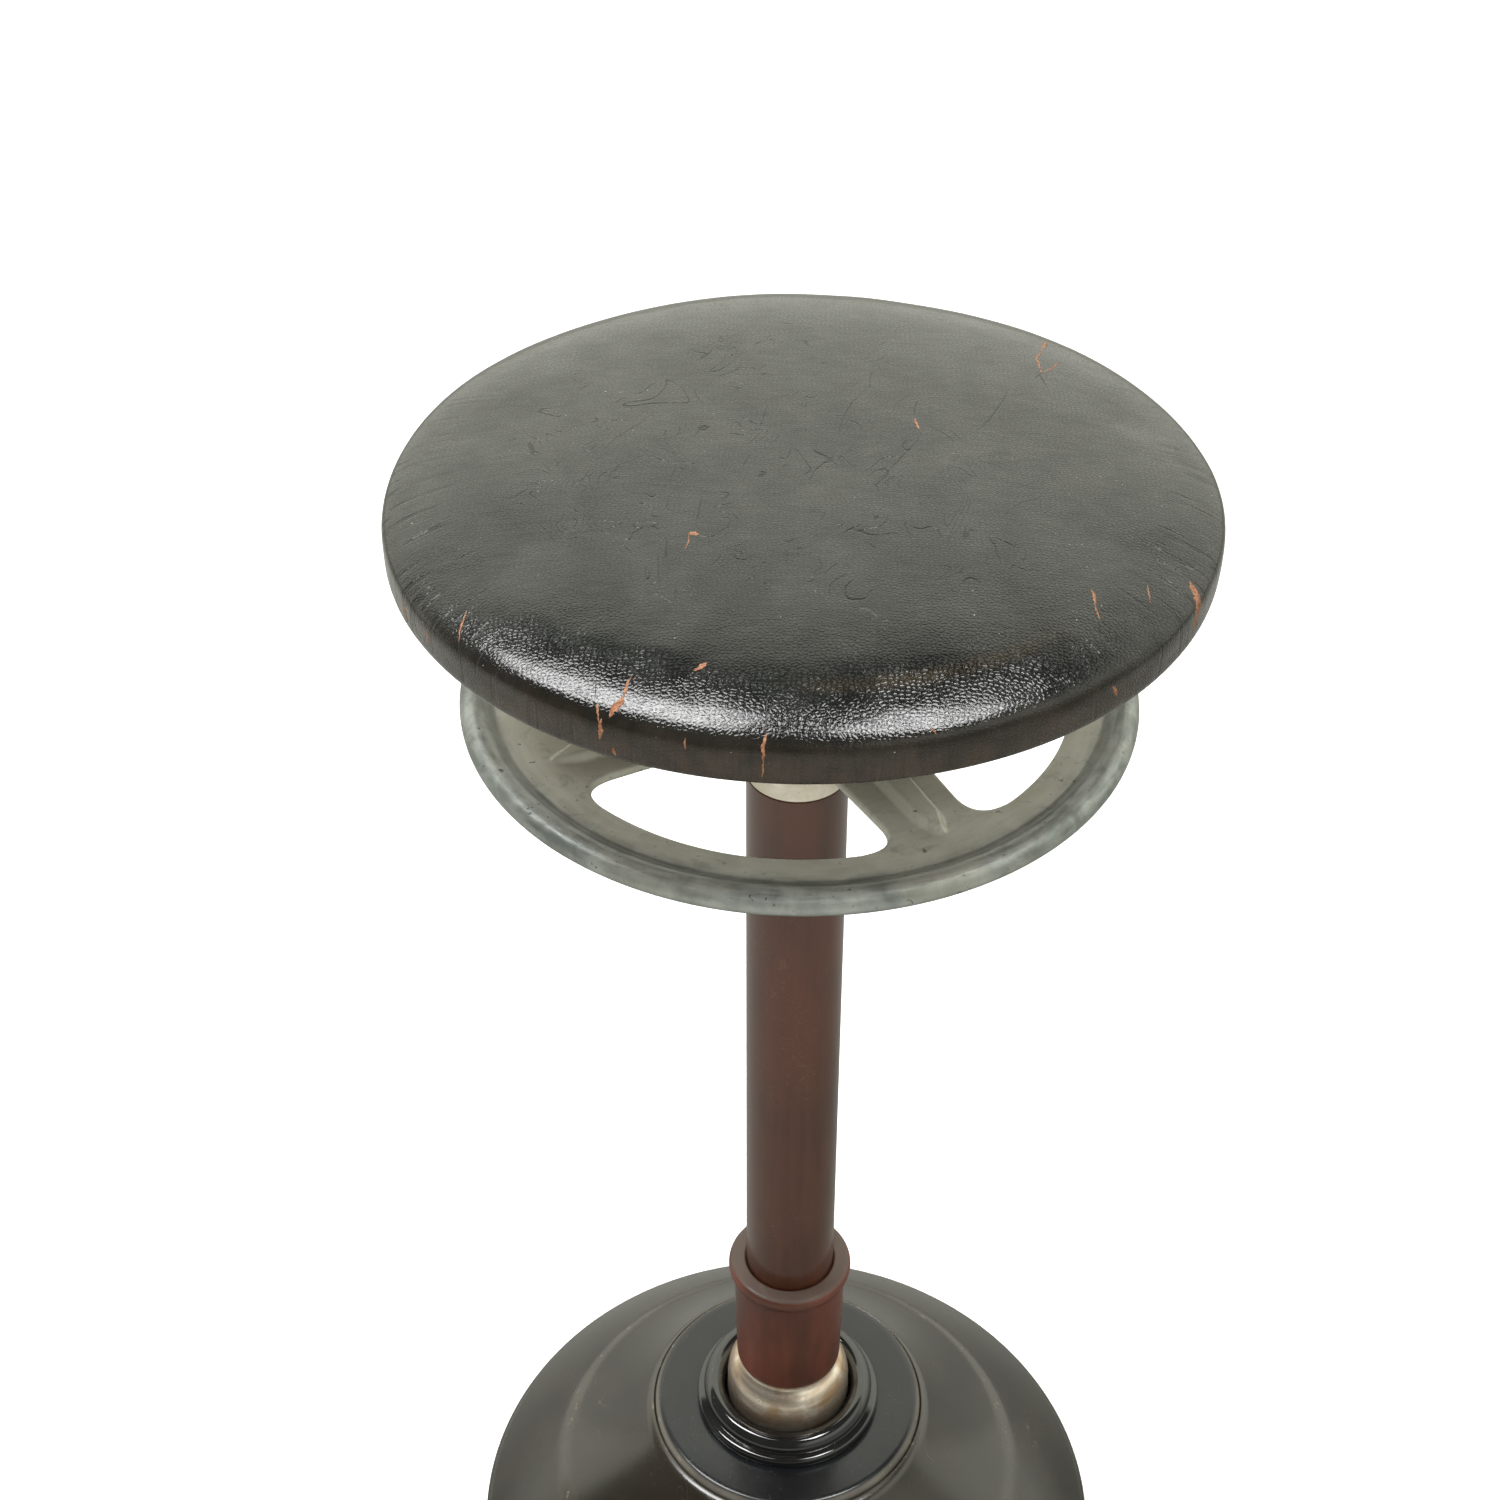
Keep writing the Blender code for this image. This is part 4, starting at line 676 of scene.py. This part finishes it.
def cubic(a, b, c, d, count):
    """Points from a to d, drawn towards b and c: p = (1-t)^3 a + 3t(1-t)^2 b + 3t^2(1-t) c + t^3 d."""
    t = np.linspace(0.0, 1.0, count)[:, None]
    a, b, c, d = (np.array(point) for point in (a, b, c, d))
    return (1 - t) ** 3 * a + 3 * t * (1 - t) ** 2 * b + 3 * t * t * (1 - t) * c + t ** 3 * d


def cushion_profile():
    """Outside of the cushion from the middle of its crown to its lip, in millimetres.

    The crown and roll are one curve, height = girth + rise * (1 - u^3.46)^(1/1.48) at u = radius / girth
    radius; the side below the girth is drawn in a little, and the lip turns under."""
    flatness, roundness = 3.46, 1.48
    u = np.sin(np.linspace(0.0, 0.5 * math.pi, 400))
    height = GIRTH_Z + (SEAT_TOP - GIRTH_Z) * (1 - u ** flatness) ** (1 / roundness)
    crown = np.stack((GIRTH_R * u, height), axis=-1)
    side = cubic((GIRTH_R, GIRTH_Z), (178.6, 728.0), (178.2, 720.0), (177.9, 716.6), 60)[1:]
    turn_in = cubic((177.9, 716.6), (177.8, 715.2), (177.0, 714.8), (175.5, 714.8), 20)[1:]
    lip = np.array(((168.0, 714.8), (161.5, 714.9)))
    return np.concatenate((crown, side, turn_in, lip))


def along_profile(profile, count):
    """Rows at even steps along the profile: (radius, height) and the way to each, in millimetres."""
    way = way_along(profile)
    even = np.linspace(0.0, way[-1], count)
    return at_ways(even, way, profile), even


def hollows(azimuth, way):
    """Soft dents and swellings that years of use have left, in millimetres along the normal.

    Two slow waves round the edge, and for each dent its height * exp(-(distance / width)^2)."""
    depth = 0.35 * np.sin(3 * azimuth + 0.6) * np.clip((way - 90.0) / 70.0, 0.0, 1.0)
    depth += 0.25 * np.sin(7 * azimuth + 1.9) * np.clip((way - 130.0) / 40.0, 0.0, 1.0)
    for at, reach, wide, deep in DENTS:
        gap = np.hypot(way * np.cos(azimuth) - reach * math.cos(math.radians(at)),
                       way * np.sin(azimuth) - reach * math.sin(math.radians(at)))
        depth += deep * np.exp(-(gap / wide) ** 2)
    return depth


def cushion():
    """Closed cushion as rings round its axis: the hide outside, then the board's seat inside it.

    Each ring is its radius and height, moved along the profile's normal by the hollows, which fade out
    above the lip; the plan lays each point flat at its azimuth and way along the hide."""
    fade_from, fade_over = 716.0, 8.0
    outside, way = along_profile(cushion_profile(), ROWS)
    inside = np.array(((161.5, 718.2), (170.0, 718.2), (175.8, 718.3), (175.8, 724.0), (175.8, BOARD_TOP),
                       (140.0, BOARD_TOP), (90.0, BOARD_TOP), (40.0, BOARD_TOP), (0.0, BOARD_TOP)))
    profile = np.concatenate((outside, inside))
    way = np.concatenate((way, way[-1] + way_along(profile[ROWS - 1:])[1:]))
    azimuth = np.linspace(-math.pi, math.pi, AROUND, endpoint=False)
    across = np.gradient(profile, axis=0)
    across = np.stack((-across[:, 1], across[:, 0]), axis=-1) / np.maximum(np.hypot(*across.T), 1e-6)[:, None]
    on_hide = np.where(np.arange(len(way)) < ROWS, 1.0, 0.0)[:, None]
    swell = on_hide * hollows(azimuth[None], way[:, None])
    swell *= np.clip((profile[:, 1:] - fade_from) / fade_over, 0.0, 1.0)
    radius, height = profile[:, :1] + across[:, :1] * swell, profile[:, 1:] + across[:, 1:] * swell
    rings = np.concatenate((on_plan(radius, azimuth), height[..., None]), axis=-1) * MM
    return rings, on_plan(way[:, None], azimuth) * MM


def cushion_mesh(name, rings, plan):
    """The cushion's rings as one closed mesh with a single point at each pole, and its plan as a UV map."""
    rows, columns = rings.shape[:2]
    middle = rings[1:-1].reshape(-1, 3)
    vertices = np.concatenate((rings[:1, 0], middle, rings[-1:, 0]))
    flat = np.concatenate((plan[:1, 0], plan[1:-1].reshape(-1, 2), plan[-1:, 0]))
    index = 1 + np.arange((rows - 2) * columns).reshape(rows - 2, columns)
    after = np.roll(index, -1, axis=1)
    quads = np.stack((index[:-1], index[1:], after[1:], after[:-1]), axis=-1).reshape(-1, 4)
    last = len(vertices) - 1
    crown = np.stack((np.zeros(columns, int), index[0], after[0]), axis=-1)
    under = np.stack((index[-1], np.full(columns, last), after[-1]), axis=-1)
    piece = new_piece(name, vertices, crown.tolist() + quads.tolist() + under.tolist())
    corner = np.zeros(len(piece.data.loops), np.int32)
    piece.data.loops.foreach_get("vertex_index", corner)
    laid_out = piece.data.uv_layers.new(name="plan")
    laid_out.data.foreach_set("uv", flat[corner].astype(np.float32).ravel())
    return piece


hide = cushion_mesh("leather_cushion", *cushion())


def swollen(piece, held, most):
    """Let the padding push the hide out, in a short cloth run under pressure.

    The held points stay, and no other point ends further from its place than most."""
    rest = np.zeros(len(piece.data.vertices) * 3)
    piece.data.vertices.foreach_get("co", rest)
    group = piece.vertex_groups.new(name="tacked")
    group.add([int(i) for i in held], 1.0, "REPLACE")
    cloth = piece.modifiers.new("Padding", "CLOTH")
    cloth.settings.quality = 6
    cloth.settings.mass = 0.4
    cloth.settings.tension_stiffness = 25.0
    cloth.settings.compression_stiffness = 25.0
    cloth.settings.bending_stiffness = 2.0
    cloth.settings.use_pressure = True
    cloth.settings.uniform_pressure_force = 4.0
    cloth.settings.vertex_group_mass = "tacked"
    cloth.settings.effector_weights.gravity = 0.0
    for step in range(1, 21):
        bpy.context.scene.frame_set(step)
    shaped = piece.evaluated_get(bpy.context.evaluated_depsgraph_get())
    moved = np.zeros_like(rest)
    shaped.data.vertices.foreach_get("co", moved)
    piece.modifiers.remove(cloth)
    piece.vertex_groups.remove(group)
    bpy.context.scene.frame_set(1)
    push = (moved - rest).reshape(-1, 3)
    length = np.maximum(np.linalg.norm(push, axis=1, keepdims=True), 1e-9)
    push *= np.minimum(1.0, most / length)
    piece.data.vertices.foreach_set("co", (rest.reshape(-1, 3) + push).ravel())
    piece.data.update()


places = np.zeros(len(hide.data.vertices) * 3)
hide.data.vertices.foreach_get("co", places)
places = places.reshape(-1, 3)
kept = np.arange(len(places)) >= 1 + (ROWS - 2) * AROUND
swollen(hide, np.nonzero(kept | (places[:, 2] < TACKED_BELOW * MM))[0], MOST_SWELL * MM)

finer = hide.modifiers.new("Finer", "SUBSURF")
finer.levels = 1
finer.render_levels = 1

leather, shader, place = new_finish("leather_finish", Specular_IOR_Level=0.32, Coat_Roughness=0.10)
flat = place.node("ShaderNodeUVMap", {}, uv_map="plan")
way = flat.node("ShaderNodeVectorMath", {0: flat}, output=1, operation="LENGTH")
heading = flat.node("ShaderNodeVectorMath", {0: flat}, operation="NORMALIZE")
u = flat.node("ShaderNodeSeparateXYZ", {0: flat})
v = u.twin(1)

roll = rise(way, 0.138, 0.160)
side = rise(way, 0.174, 0.194)
right_front = rise(u - 0.55 * v, 0.02, 0.13)
worn_left = 1.0 - rise(u + 0.2 * v, -0.10, 0.03)
blotch = clouds(flat, 0.045, detail=4.0, warp=0.7)
haze = clouds(flat, 0.018, detail=3.0, warp=0.5)

# The pebbled grain, drawn out a little round the seat, and rubbed flat on the left
bent = clouds(flat, 0.004, detail=1.0)
shift = bent.node("ShaderNodeVectorMath", {0: flat, 1: bent.twin(1)}, operation="ADD")
shaken = shift.node("ShaderNodeMix", {0: 0.0012, 4: flat, 5: shift}, output=1, data_type="VECTOR")
shaken = stretched(shaken, 0.8, 1.0, 1.0)
pebble = shaken.node("ShaderNodeTexVoronoi", {"Vector": shaken, "Scale": 1.0 / 0.0017, "Randomness": 0.85},
                     feature="DISTANCE_TO_EDGE", voronoi_dimensions="2D")
pebble = rise(pebble, 0.0, 0.42)
pore = clouds(flat, 0.0008, detail=2.0)
grain = 0.90 + 0.25 * right_front - 0.10 * worn_left
grain = grain * (0.80 + 0.4 * rise(haze, 0.35, 0.65))

# Fine creases that run down over the rolled edge
spoke = heading.node("ShaderNodeVectorMath", {0: heading, "Scale": 0.17}, operation="SCALE")
lean_in = way.node("ShaderNodeCombineXYZ", {2: way * 0.10})
spoke = spoke.node("ShaderNodeVectorMath", {0: spoke, 1: lean_in}, operation="ADD")
crease = clouds(spoke, 0.0020, detail=4.0, warp=0.25, rough=0.6)
deep_crease = rise(clouds(spoke, 0.0042, detail=3.0, warp=0.2), 0.56, 0.66)
flank = rise(abs(u), 0.09, 0.15) * rise(way, 0.138, 0.166) * (1.0 - 0.6 * rise(v, -0.04, 0.06))
crease_share = (0.6 * side).most(flank) * rise(clouds(flat, 0.03), 0.30, 0.55)

# Thin curved wrinkles on the crown, in patches: the level lines of a cloudy value
level = clouds(flat, 0.045, detail=1.5, warp=1.3) * 13.0
arcs = 1.0 - rise(level.maths("PINGPONG", level, 0.5), 0.0, 0.075)
arcs = arcs * rise(clouds(flat, 0.024, detail=2.0), 0.50, 0.60) * (1.0 - rise(way, 0.105, 0.140))
arcs = arcs * (1.0 - 0.8 * rise(u + 0.5 * v, 0.02, 0.10))

# Pale specks, and a golden rub on the roll at the front right
speck = rise(clouds(flat, 0.0013, detail=0.0), 0.845, 0.86) * rise(blotch, 0.52, 0.62)
front_right = abs(u - 0.28 * v - 0.090)
gold = (1.0 - rise(abs(way - 0.155), 0.001, 0.005)) * (1.0 - rise(front_right, 0.025, 0.060))
gold = gold * (1.0 - rise(v, -0.12, -0.10)) * rise(haze + 0.5 * pebble, 0.35, 0.85)

# Black on the crown, brown where the side has faded, and a wax polish over both
black = blend(rise(0.6 * blotch + 0.4 * haze, 0.3, 0.7), (0.0035, 0.004, 0.0035), (0.013, 0.0135, 0.012))
brown = blend(crease, (0.014, 0.009, 0.006), (0.058, 0.038, 0.024))
brown_share = side * (0.45 + 0.5 * rise(haze, 0.35, 0.65)) * (1.0 - 0.6 * rise(abs(u), 0.10, 0.17))
colour = blend(brown_share, black, brown)
colour = blend(gold * 0.16, colour, (0.10, 0.062, 0.025))
colour = blend(speck * 0.6, colour, (0.45, 0.44, 0.40))
colour = blend(arcs * 0.8, colour, (0.003, 0.003, 0.003))
streak = clouds(stretched(flat, 0.22, 1.0, 1.0), 0.0024, detail=4.0, warp=0.4)
roughness = 0.14 - 0.03 * roll + 0.06 * (blotch - 0.5) + 0.06 * (haze - 0.5) + 0.12 * side
polish = 0.27 + 0.22 * (blotch - 0.5) + 0.20 * (haze - 0.5) + 0.40 * (streak - 0.5) + 1.2 * (pore - 0.5)
polish = polish + 0.15 * grain * (pebble - 0.75) - 0.50 * arcs - 0.20 * crease_share * deep_crease
polish = polish.most(0.0).least(1.0)
height = pebble * grain * 0.000065 + pore * 0.000065
height = height + clouds(flat, 0.011, detail=2.0) * 0.00020 + streak * 0.00003
height = height + crease * crease_share * 0.00022 - deep_crease * crease_share * 0.00018 - arcs * 0.00019
dress(shader, colour, height, Roughness=roughness, Coat_Weight=polish)

fit(hide, "seat", ["seat_cover", "seat_pad"], leather)

# Tears and cracks in the hide
# Where the black finish has split, slivers of the tan flesh side of the hide show, and finer cracks stay
# dark. They are part of the leather, modelled as thin strips that are sunk in it at their edges.

# Each mark: its half width in millimetres, and its run in degrees round and millimetres from the middle
TEARS = [
    (1.6, [(46.9, 165), (43.8, 151)]), (0.9, [(43.8, 151), (40.9, 138), (35.2, 129)]),
    (0.7, [(35.2, 129), (36.1, 138), (38.1, 147)]), (1.2, [(27.6, 54), (17.4, 52)]),
    (1.8, [(-124.6, 79), (-121.3, 78)]), (0.4, [(-124.6, 79), (-122.0, 84), (-120.6, 90)]),
    (1.7, [(-104.9, 153), (-103.5, 148)]), (1.1, [(-113.0, 161), (-112.8, 173)]),
    (2.6, [(-112.7, 170), (-113.4, 180)]), (0.9, [(-115.7, 175), (-114.6, 183)]),
    (1.7, [(-114.4, 181), (-114.6, 191)]), (1.2, [(-112.8, 193), (-112.5, 197)]),
    (0.8, [(-103.5, 181), (-103.4, 186)]), (1.3, [(-93.8, 176), (-94.0, 188)]),
    (0.6, [(-94.0, 186), (-94.2, 196)]), (0.8, [(-141.9, 167), (-140.2, 173), (-138.6, 179)]),
    (1.9, [(-153.4, 186), (-152.6, 195)]), (1.3, [(-145.8, 186), (-145.0, 192)]),
    (1.3, [(-38.6, 146), (-40.6, 152)]), (0.6, [(-40.6, 151), (-42.8, 159)]),
    (4.6, [(-24.4, 173), (-26.7, 182), (-27.8, 193)]), (1.6, [(-47.7, 185), (-46.7, 191)]),
    (0.6, [(-73.6, 177), (-73.2, 180)]), (0.5, [(-30.2, 160), (-33.3, 166)]),
]
CRACKS = [
    (0.40, [(35.2, 129), (33.3, 122)]), (0.40, [(35.0, 128), (29.3, 123)]),
    (0.35, [(14.6, 52), (6.2, 48), (-4.8, 43), (-25.7, 40), (-44.4, 41)]),
    (0.35, [(29.3, 54), (39.6, 64)]), (0.40, [(-124.6, 75), (-129.7, 65), (-137.4, 55)]),
    (0.40, [(-94.2, 160), (-93.8, 178)]), (0.40, [(-139.0, 177), (-137.6, 184), (-137.3, 196)]),
    (0.35, [(-117.8, 164), (-116.0, 176)]),
    (0.30, [(156.0, 70), (165.7, 72), (173.7, 78), (181.0, 83)]),
    (0.30, [(-159.1, 86), (-164.7, 82), (-169.2, 77), (-172.5, 68)]),
    (0.30, [(-164.3, 54), (-155.8, 59), (-150.0, 65)]),
    (0.30, [(61.6, 57), (60.4, 41), (54.6, 29), (40.8, 20)]),
    (0.35, [(32.1, 106), (25.8, 95), (17.6, 83), (10.5, 74)]),
    (0.35, [(19.1, 57), (10.5, 62), (3.2, 65)]), (0.30, [(16.9, 61), (12.7, 65), (4.9, 68)]),
    (0.35, [(-125.5, 97), (-121.6, 106), (-117.8, 116)]),
    (0.30, [(113.4, 39), (127.9, 28), (144.6, 24)]), (0.30, [(-163.7, 23), (-146.1, 30)]),
]


def slivers(name, marks, stand, seed):
    """Thin ragged strips along the marks, with sunk edges and a middle that stands a little proud.

    A strip wanders about its run and narrows to its ends: half width = half * taper * noise. Its section
    is given as shares of the half width and of stand, in millimetres, along the hide's normal."""
    rng = np.random.default_rng(seed)
    profile = cushion_profile()
    profile_way = way_along(profile)
    section = np.array(((-1.0, -0.15), (-0.6, 0.6), (0.0, 1.0), (0.6, 0.6), (1.0, -0.15), (0.0, -2.0)))
    shape = hide.evaluated_get(bpy.context.evaluated_depsgraph_get())
    shells = []
    for half, run in marks:
        corners = np.array([on_plan(reach, math.radians(degrees)) for degrees, reach in run])
        step = way_along(corners)
        count = max(8, int(step[-1] / 0.5))
        even = np.linspace(0.0, step[-1], count)
        line = at_ways(even, step, corners)
        ahead = np.gradient(line, axis=0)
        across = np.stack((-ahead[:, 1], ahead[:, 0]), axis=-1) / np.hypot(*ahead.T)[:, None]
        rough = rng.normal(size=(3, count))
        rough = 0.5 * rough + 0.5 * np.roll(rough, 1, axis=1)
        wander = np.convolve(np.cumsum(rough[0]) * 0.12, np.ones(5) / 5, "same")
        wander -= np.linspace(wander[0], wander[-1], count)
        taper = np.sin(np.linspace(0.03, math.pi - 0.03, count)) ** 0.8
        left = half * taper * np.clip(0.62 + 0.22 * rough[1], 0.15, 1.3)
        right = half * taper * np.clip(0.62 + 0.22 * rough[2], 0.15, 1.3)
        rows = []
        for share, lift in section:
            reach = np.where(share < 0, left, right) * share + np.clip(wander, -2.0, 2.0) * min(half, 1.0)
            flat = line + across * reach[:, None]
            azimuth, way = np.arctan2(flat[:, 1], flat[:, 0]), np.hypot(flat[:, 0], flat[:, 1])
            radius, height = at_ways(way, profile_way, profile).T
            for near_spot in np.concatenate((on_plan(radius, azimuth), height[:, None]), axis=-1) * MM:
                _, spot, normal, _ = shape.closest_point_on_mesh(near_spot)
                rows.append(spot + normal * (lift * stand * MM))
        shells.append(np.array(rows).reshape(len(section), count, 3))
    return strips(name, shells)


def strips(name, shells):
    """Closed strips as one mesh: each joins up round its section and is capped at its narrow ends."""
    vertices, faces, first = [], [], 0
    for points in shells:
        rows, columns = points.shape[:2]
        quads = ring_faces(rows, columns).reshape(rows, columns, 4)[:, :-1].reshape(-1, 4)
        vertices.append(points.reshape(-1, 3))
        faces += (quads + first).tolist()
        faces.append([first + k * columns for k in range(rows)])
        faces.append([first + k * columns + columns - 1 for k in range(rows)][::-1])
        first += rows * columns
    piece = new_piece(name, np.concatenate(vertices), faces)
    weld(piece)
    return piece


flesh, shader, place = new_finish("flesh_finish", Roughness=0.85)
fibres = clouds(place, 0.0011, detail=4.0, rough=0.65)
patch = clouds(place, 0.006, detail=2.0)
colour = blend(rise(fibres, 0.38, 0.62), (0.16, 0.058, 0.026), (0.33, 0.165, 0.090))
colour = blend(rise(patch, 0.45, 0.7) * 0.4, colour, (0.20, 0.066, 0.027))
dress(shader, colour, fibres * 0.0002)
split, shader, place = new_finish("split_finish", Roughness=0.7)
colour = blend(clouds(place, 0.004, detail=3.0), (0.006, 0.006, 0.006), (0.016, 0.014, 0.012))
feed(shader.inputs["Base Color"], colour)

tears = slivers("tears", TEARS, stand=0.10, seed=4)
cracks = slivers("cracks", CRACKS, stand=0.05, seed=9)
fit(tears, "seat", [], flesh)
fit(cracks, "seat", [], split)

# Tacks under the seat
# Small round-headed tacks of dark steel, driven through the hide's lip into the board, one every thirty
# millimetres or so.


def tacks(count, circle, face):
    """Domed heads in an uneven ring: each is a small turned cap, its rim against the lip, crown down."""
    facets, uneven, wave = 14, 0.18, 5.1
    cap = softened([(0.2, -1.4, 0.0), (2.2, -1.1, 0.9), (3.4, -0.1, 0.3), (3.4, 0.0, 0.0),
                    (0.2, 0.0, 0.0)], 4)
    one = turned_points(cap, facets)
    quads = ring_faces(*one.shape[:2])
    one = one.reshape(-1, 3)
    vertices, faces = [], []
    for i in range(count):
        azimuth = 2 * math.pi * (i + uneven * math.sin(wave * i)) / count
        at = np.array((circle * math.cos(azimuth), circle * math.sin(azimuth), face)) * MM
        vertices.append(one + at)
        faces.append(quads + i * len(one))
    return mesh_piece("tacks", np.concatenate(vertices), np.concatenate(faces))


tack_heads = tacks(count=36, circle=167.5, face=714.7)
fit(tack_heads, "seat", [], dark_steel)

# Floor, light and camera
# A floor of white paper that keeps a soft shadow, with bright walls behind and to the right, two soft
# boxes overhead and a dim fill from the front. Polish and other light meet the paper darker than the
# camera sees it, and darker still near the stool, where a shadow is painted into the paper.

FLOOR_HALF = 6
corners = np.array(((-1, -1, 0), (1, -1, 0), (1, 1, 0), (-1, 1, 0))) * FLOOR_HALF
floor = new_piece("floor", corners, [(0, 1, 2, 3)])
paper, shader, place = new_finish("paper", Roughness=0.9, Emission_Strength=0.55)
rays = place.node("ShaderNodeLightPath", {}, output="Is Camera Ray")
# For light and polish the paper is painted darker within about a metre of the stool: a painted shadow.
unseen_painted_shadow = blend(rise(from_axis(place), 0.25, 1.10), (0.24, 0.24, 0.225), (0.48, 0.48, 0.46))
feed(shader.inputs["Base Color"], blend(rays, unseen_painted_shadow, (0.90, 0.90, 0.90)))
feed(shader.inputs["Emission Color"], blend(rays, (0.0, 0.0, 0.0), (1.0, 1.0, 1.0)))
floor.data.materials.append(paper)

studio = bpy.data.worlds.new("studio")
bpy.context.scene.world = studio
studio.use_nodes = True
tree = studio.node_tree
sky = tree.nodes["Background"]
heading = Wire(tree.nodes.new("ShaderNodeTexCoord").outputs["Generated"])
east = heading.node("ShaderNodeSeparateXYZ", {0: heading})
north, height = east.twin(1), east.twin(2)
tall = rise(height, 0.05, 0.62)
wall = rise(north - 0.58 * height + 0.16 * east.least(0.0), -0.03, 0.04) * (1.06 + 0.74 * tall)
rays = Wire(tree.nodes.new("ShaderNodeLightPath").outputs["Is Camera Ray"])
right_wall = rise(east, 0.12, 0.45) * (1.0 - rise(height, 0.66, 0.80)) * (0.35 + tall)
right_wall = right_wall * (0.35 + 0.65 * rays.twin("Is Glossy Ray"))
room = 0.10 + (1.0 - rays.twin("Is Glossy Ray")) * (0.05 + 0.25 * rise(0.0 - north, -0.2, 0.6))
glow = room + wall.most(right_wall)
light = glow.node("ShaderNodeVectorMath", {0: (1.0, 1.005, 0.88), "Scale": glow}, operation="SCALE")
feed(sky.inputs["Color"], blend(rays, light, (1.0, 1.0, 1.0)))
feed(sky.inputs["Strength"], 1.0)


def soft_box(name, place, tilt, turn, length, width, watts, shines=True, lights=True):
    """A soft box as a plain area light that the camera doesn't see.

    It faces down, is tilted up towards the back by degrees, and then turned about Z. shines is whether
    polish mirrors it, and lights whether it lights dull surfaces."""
    light = bpy.data.lights.new(name, "AREA")
    light.shape = "RECTANGLE"
    light.size = length
    light.size_y = width
    light.energy = watts
    lamp = bpy.data.objects.new(name, light)
    lamp.location = place
    lamp.rotation_euler = (math.radians(tilt), 0.0, math.radians(turn))
    lamp.visible_camera = False
    lamp.visible_glossy = shines
    lamp.visible_diffuse = lights
    bpy.context.scene.collection.objects.link(lamp)


soft_box("box_left", (-0.75, 0.00, 2.20), tilt=0.0, turn=-24.0, length=1.30, width=0.46, watts=38.0)
soft_box("box_right", (0.55, -0.28, 2.20), tilt=0.0, turn=-20.0, length=0.66, width=0.52, watts=23.0,
         lights=False)
soft_box("fill_front", (0.0, -1.50, 1.85), tilt=47.0, turn=0.0, length=0.90, width=0.60, watts=27.0,
         shines=False)

LOOKS_DOWN, LOOKS_LEFT = 38.15, 1.47
lens = bpy.data.cameras.new("camera")
lens.sensor_width = 36.0
lens.lens = 56.8
camera = bpy.data.objects.new("camera", lens)
camera.location = (0.0, -0.8599, 1.2684)
camera.rotation_euler = (math.radians(90.0 - LOOKS_DOWN), 0.0, math.radians(LOOKS_LEFT))
bpy.context.scene.collection.objects.link(camera)
bpy.context.scene.camera = camera
bpy.context.scene.view_settings.view_transform = "Standard"
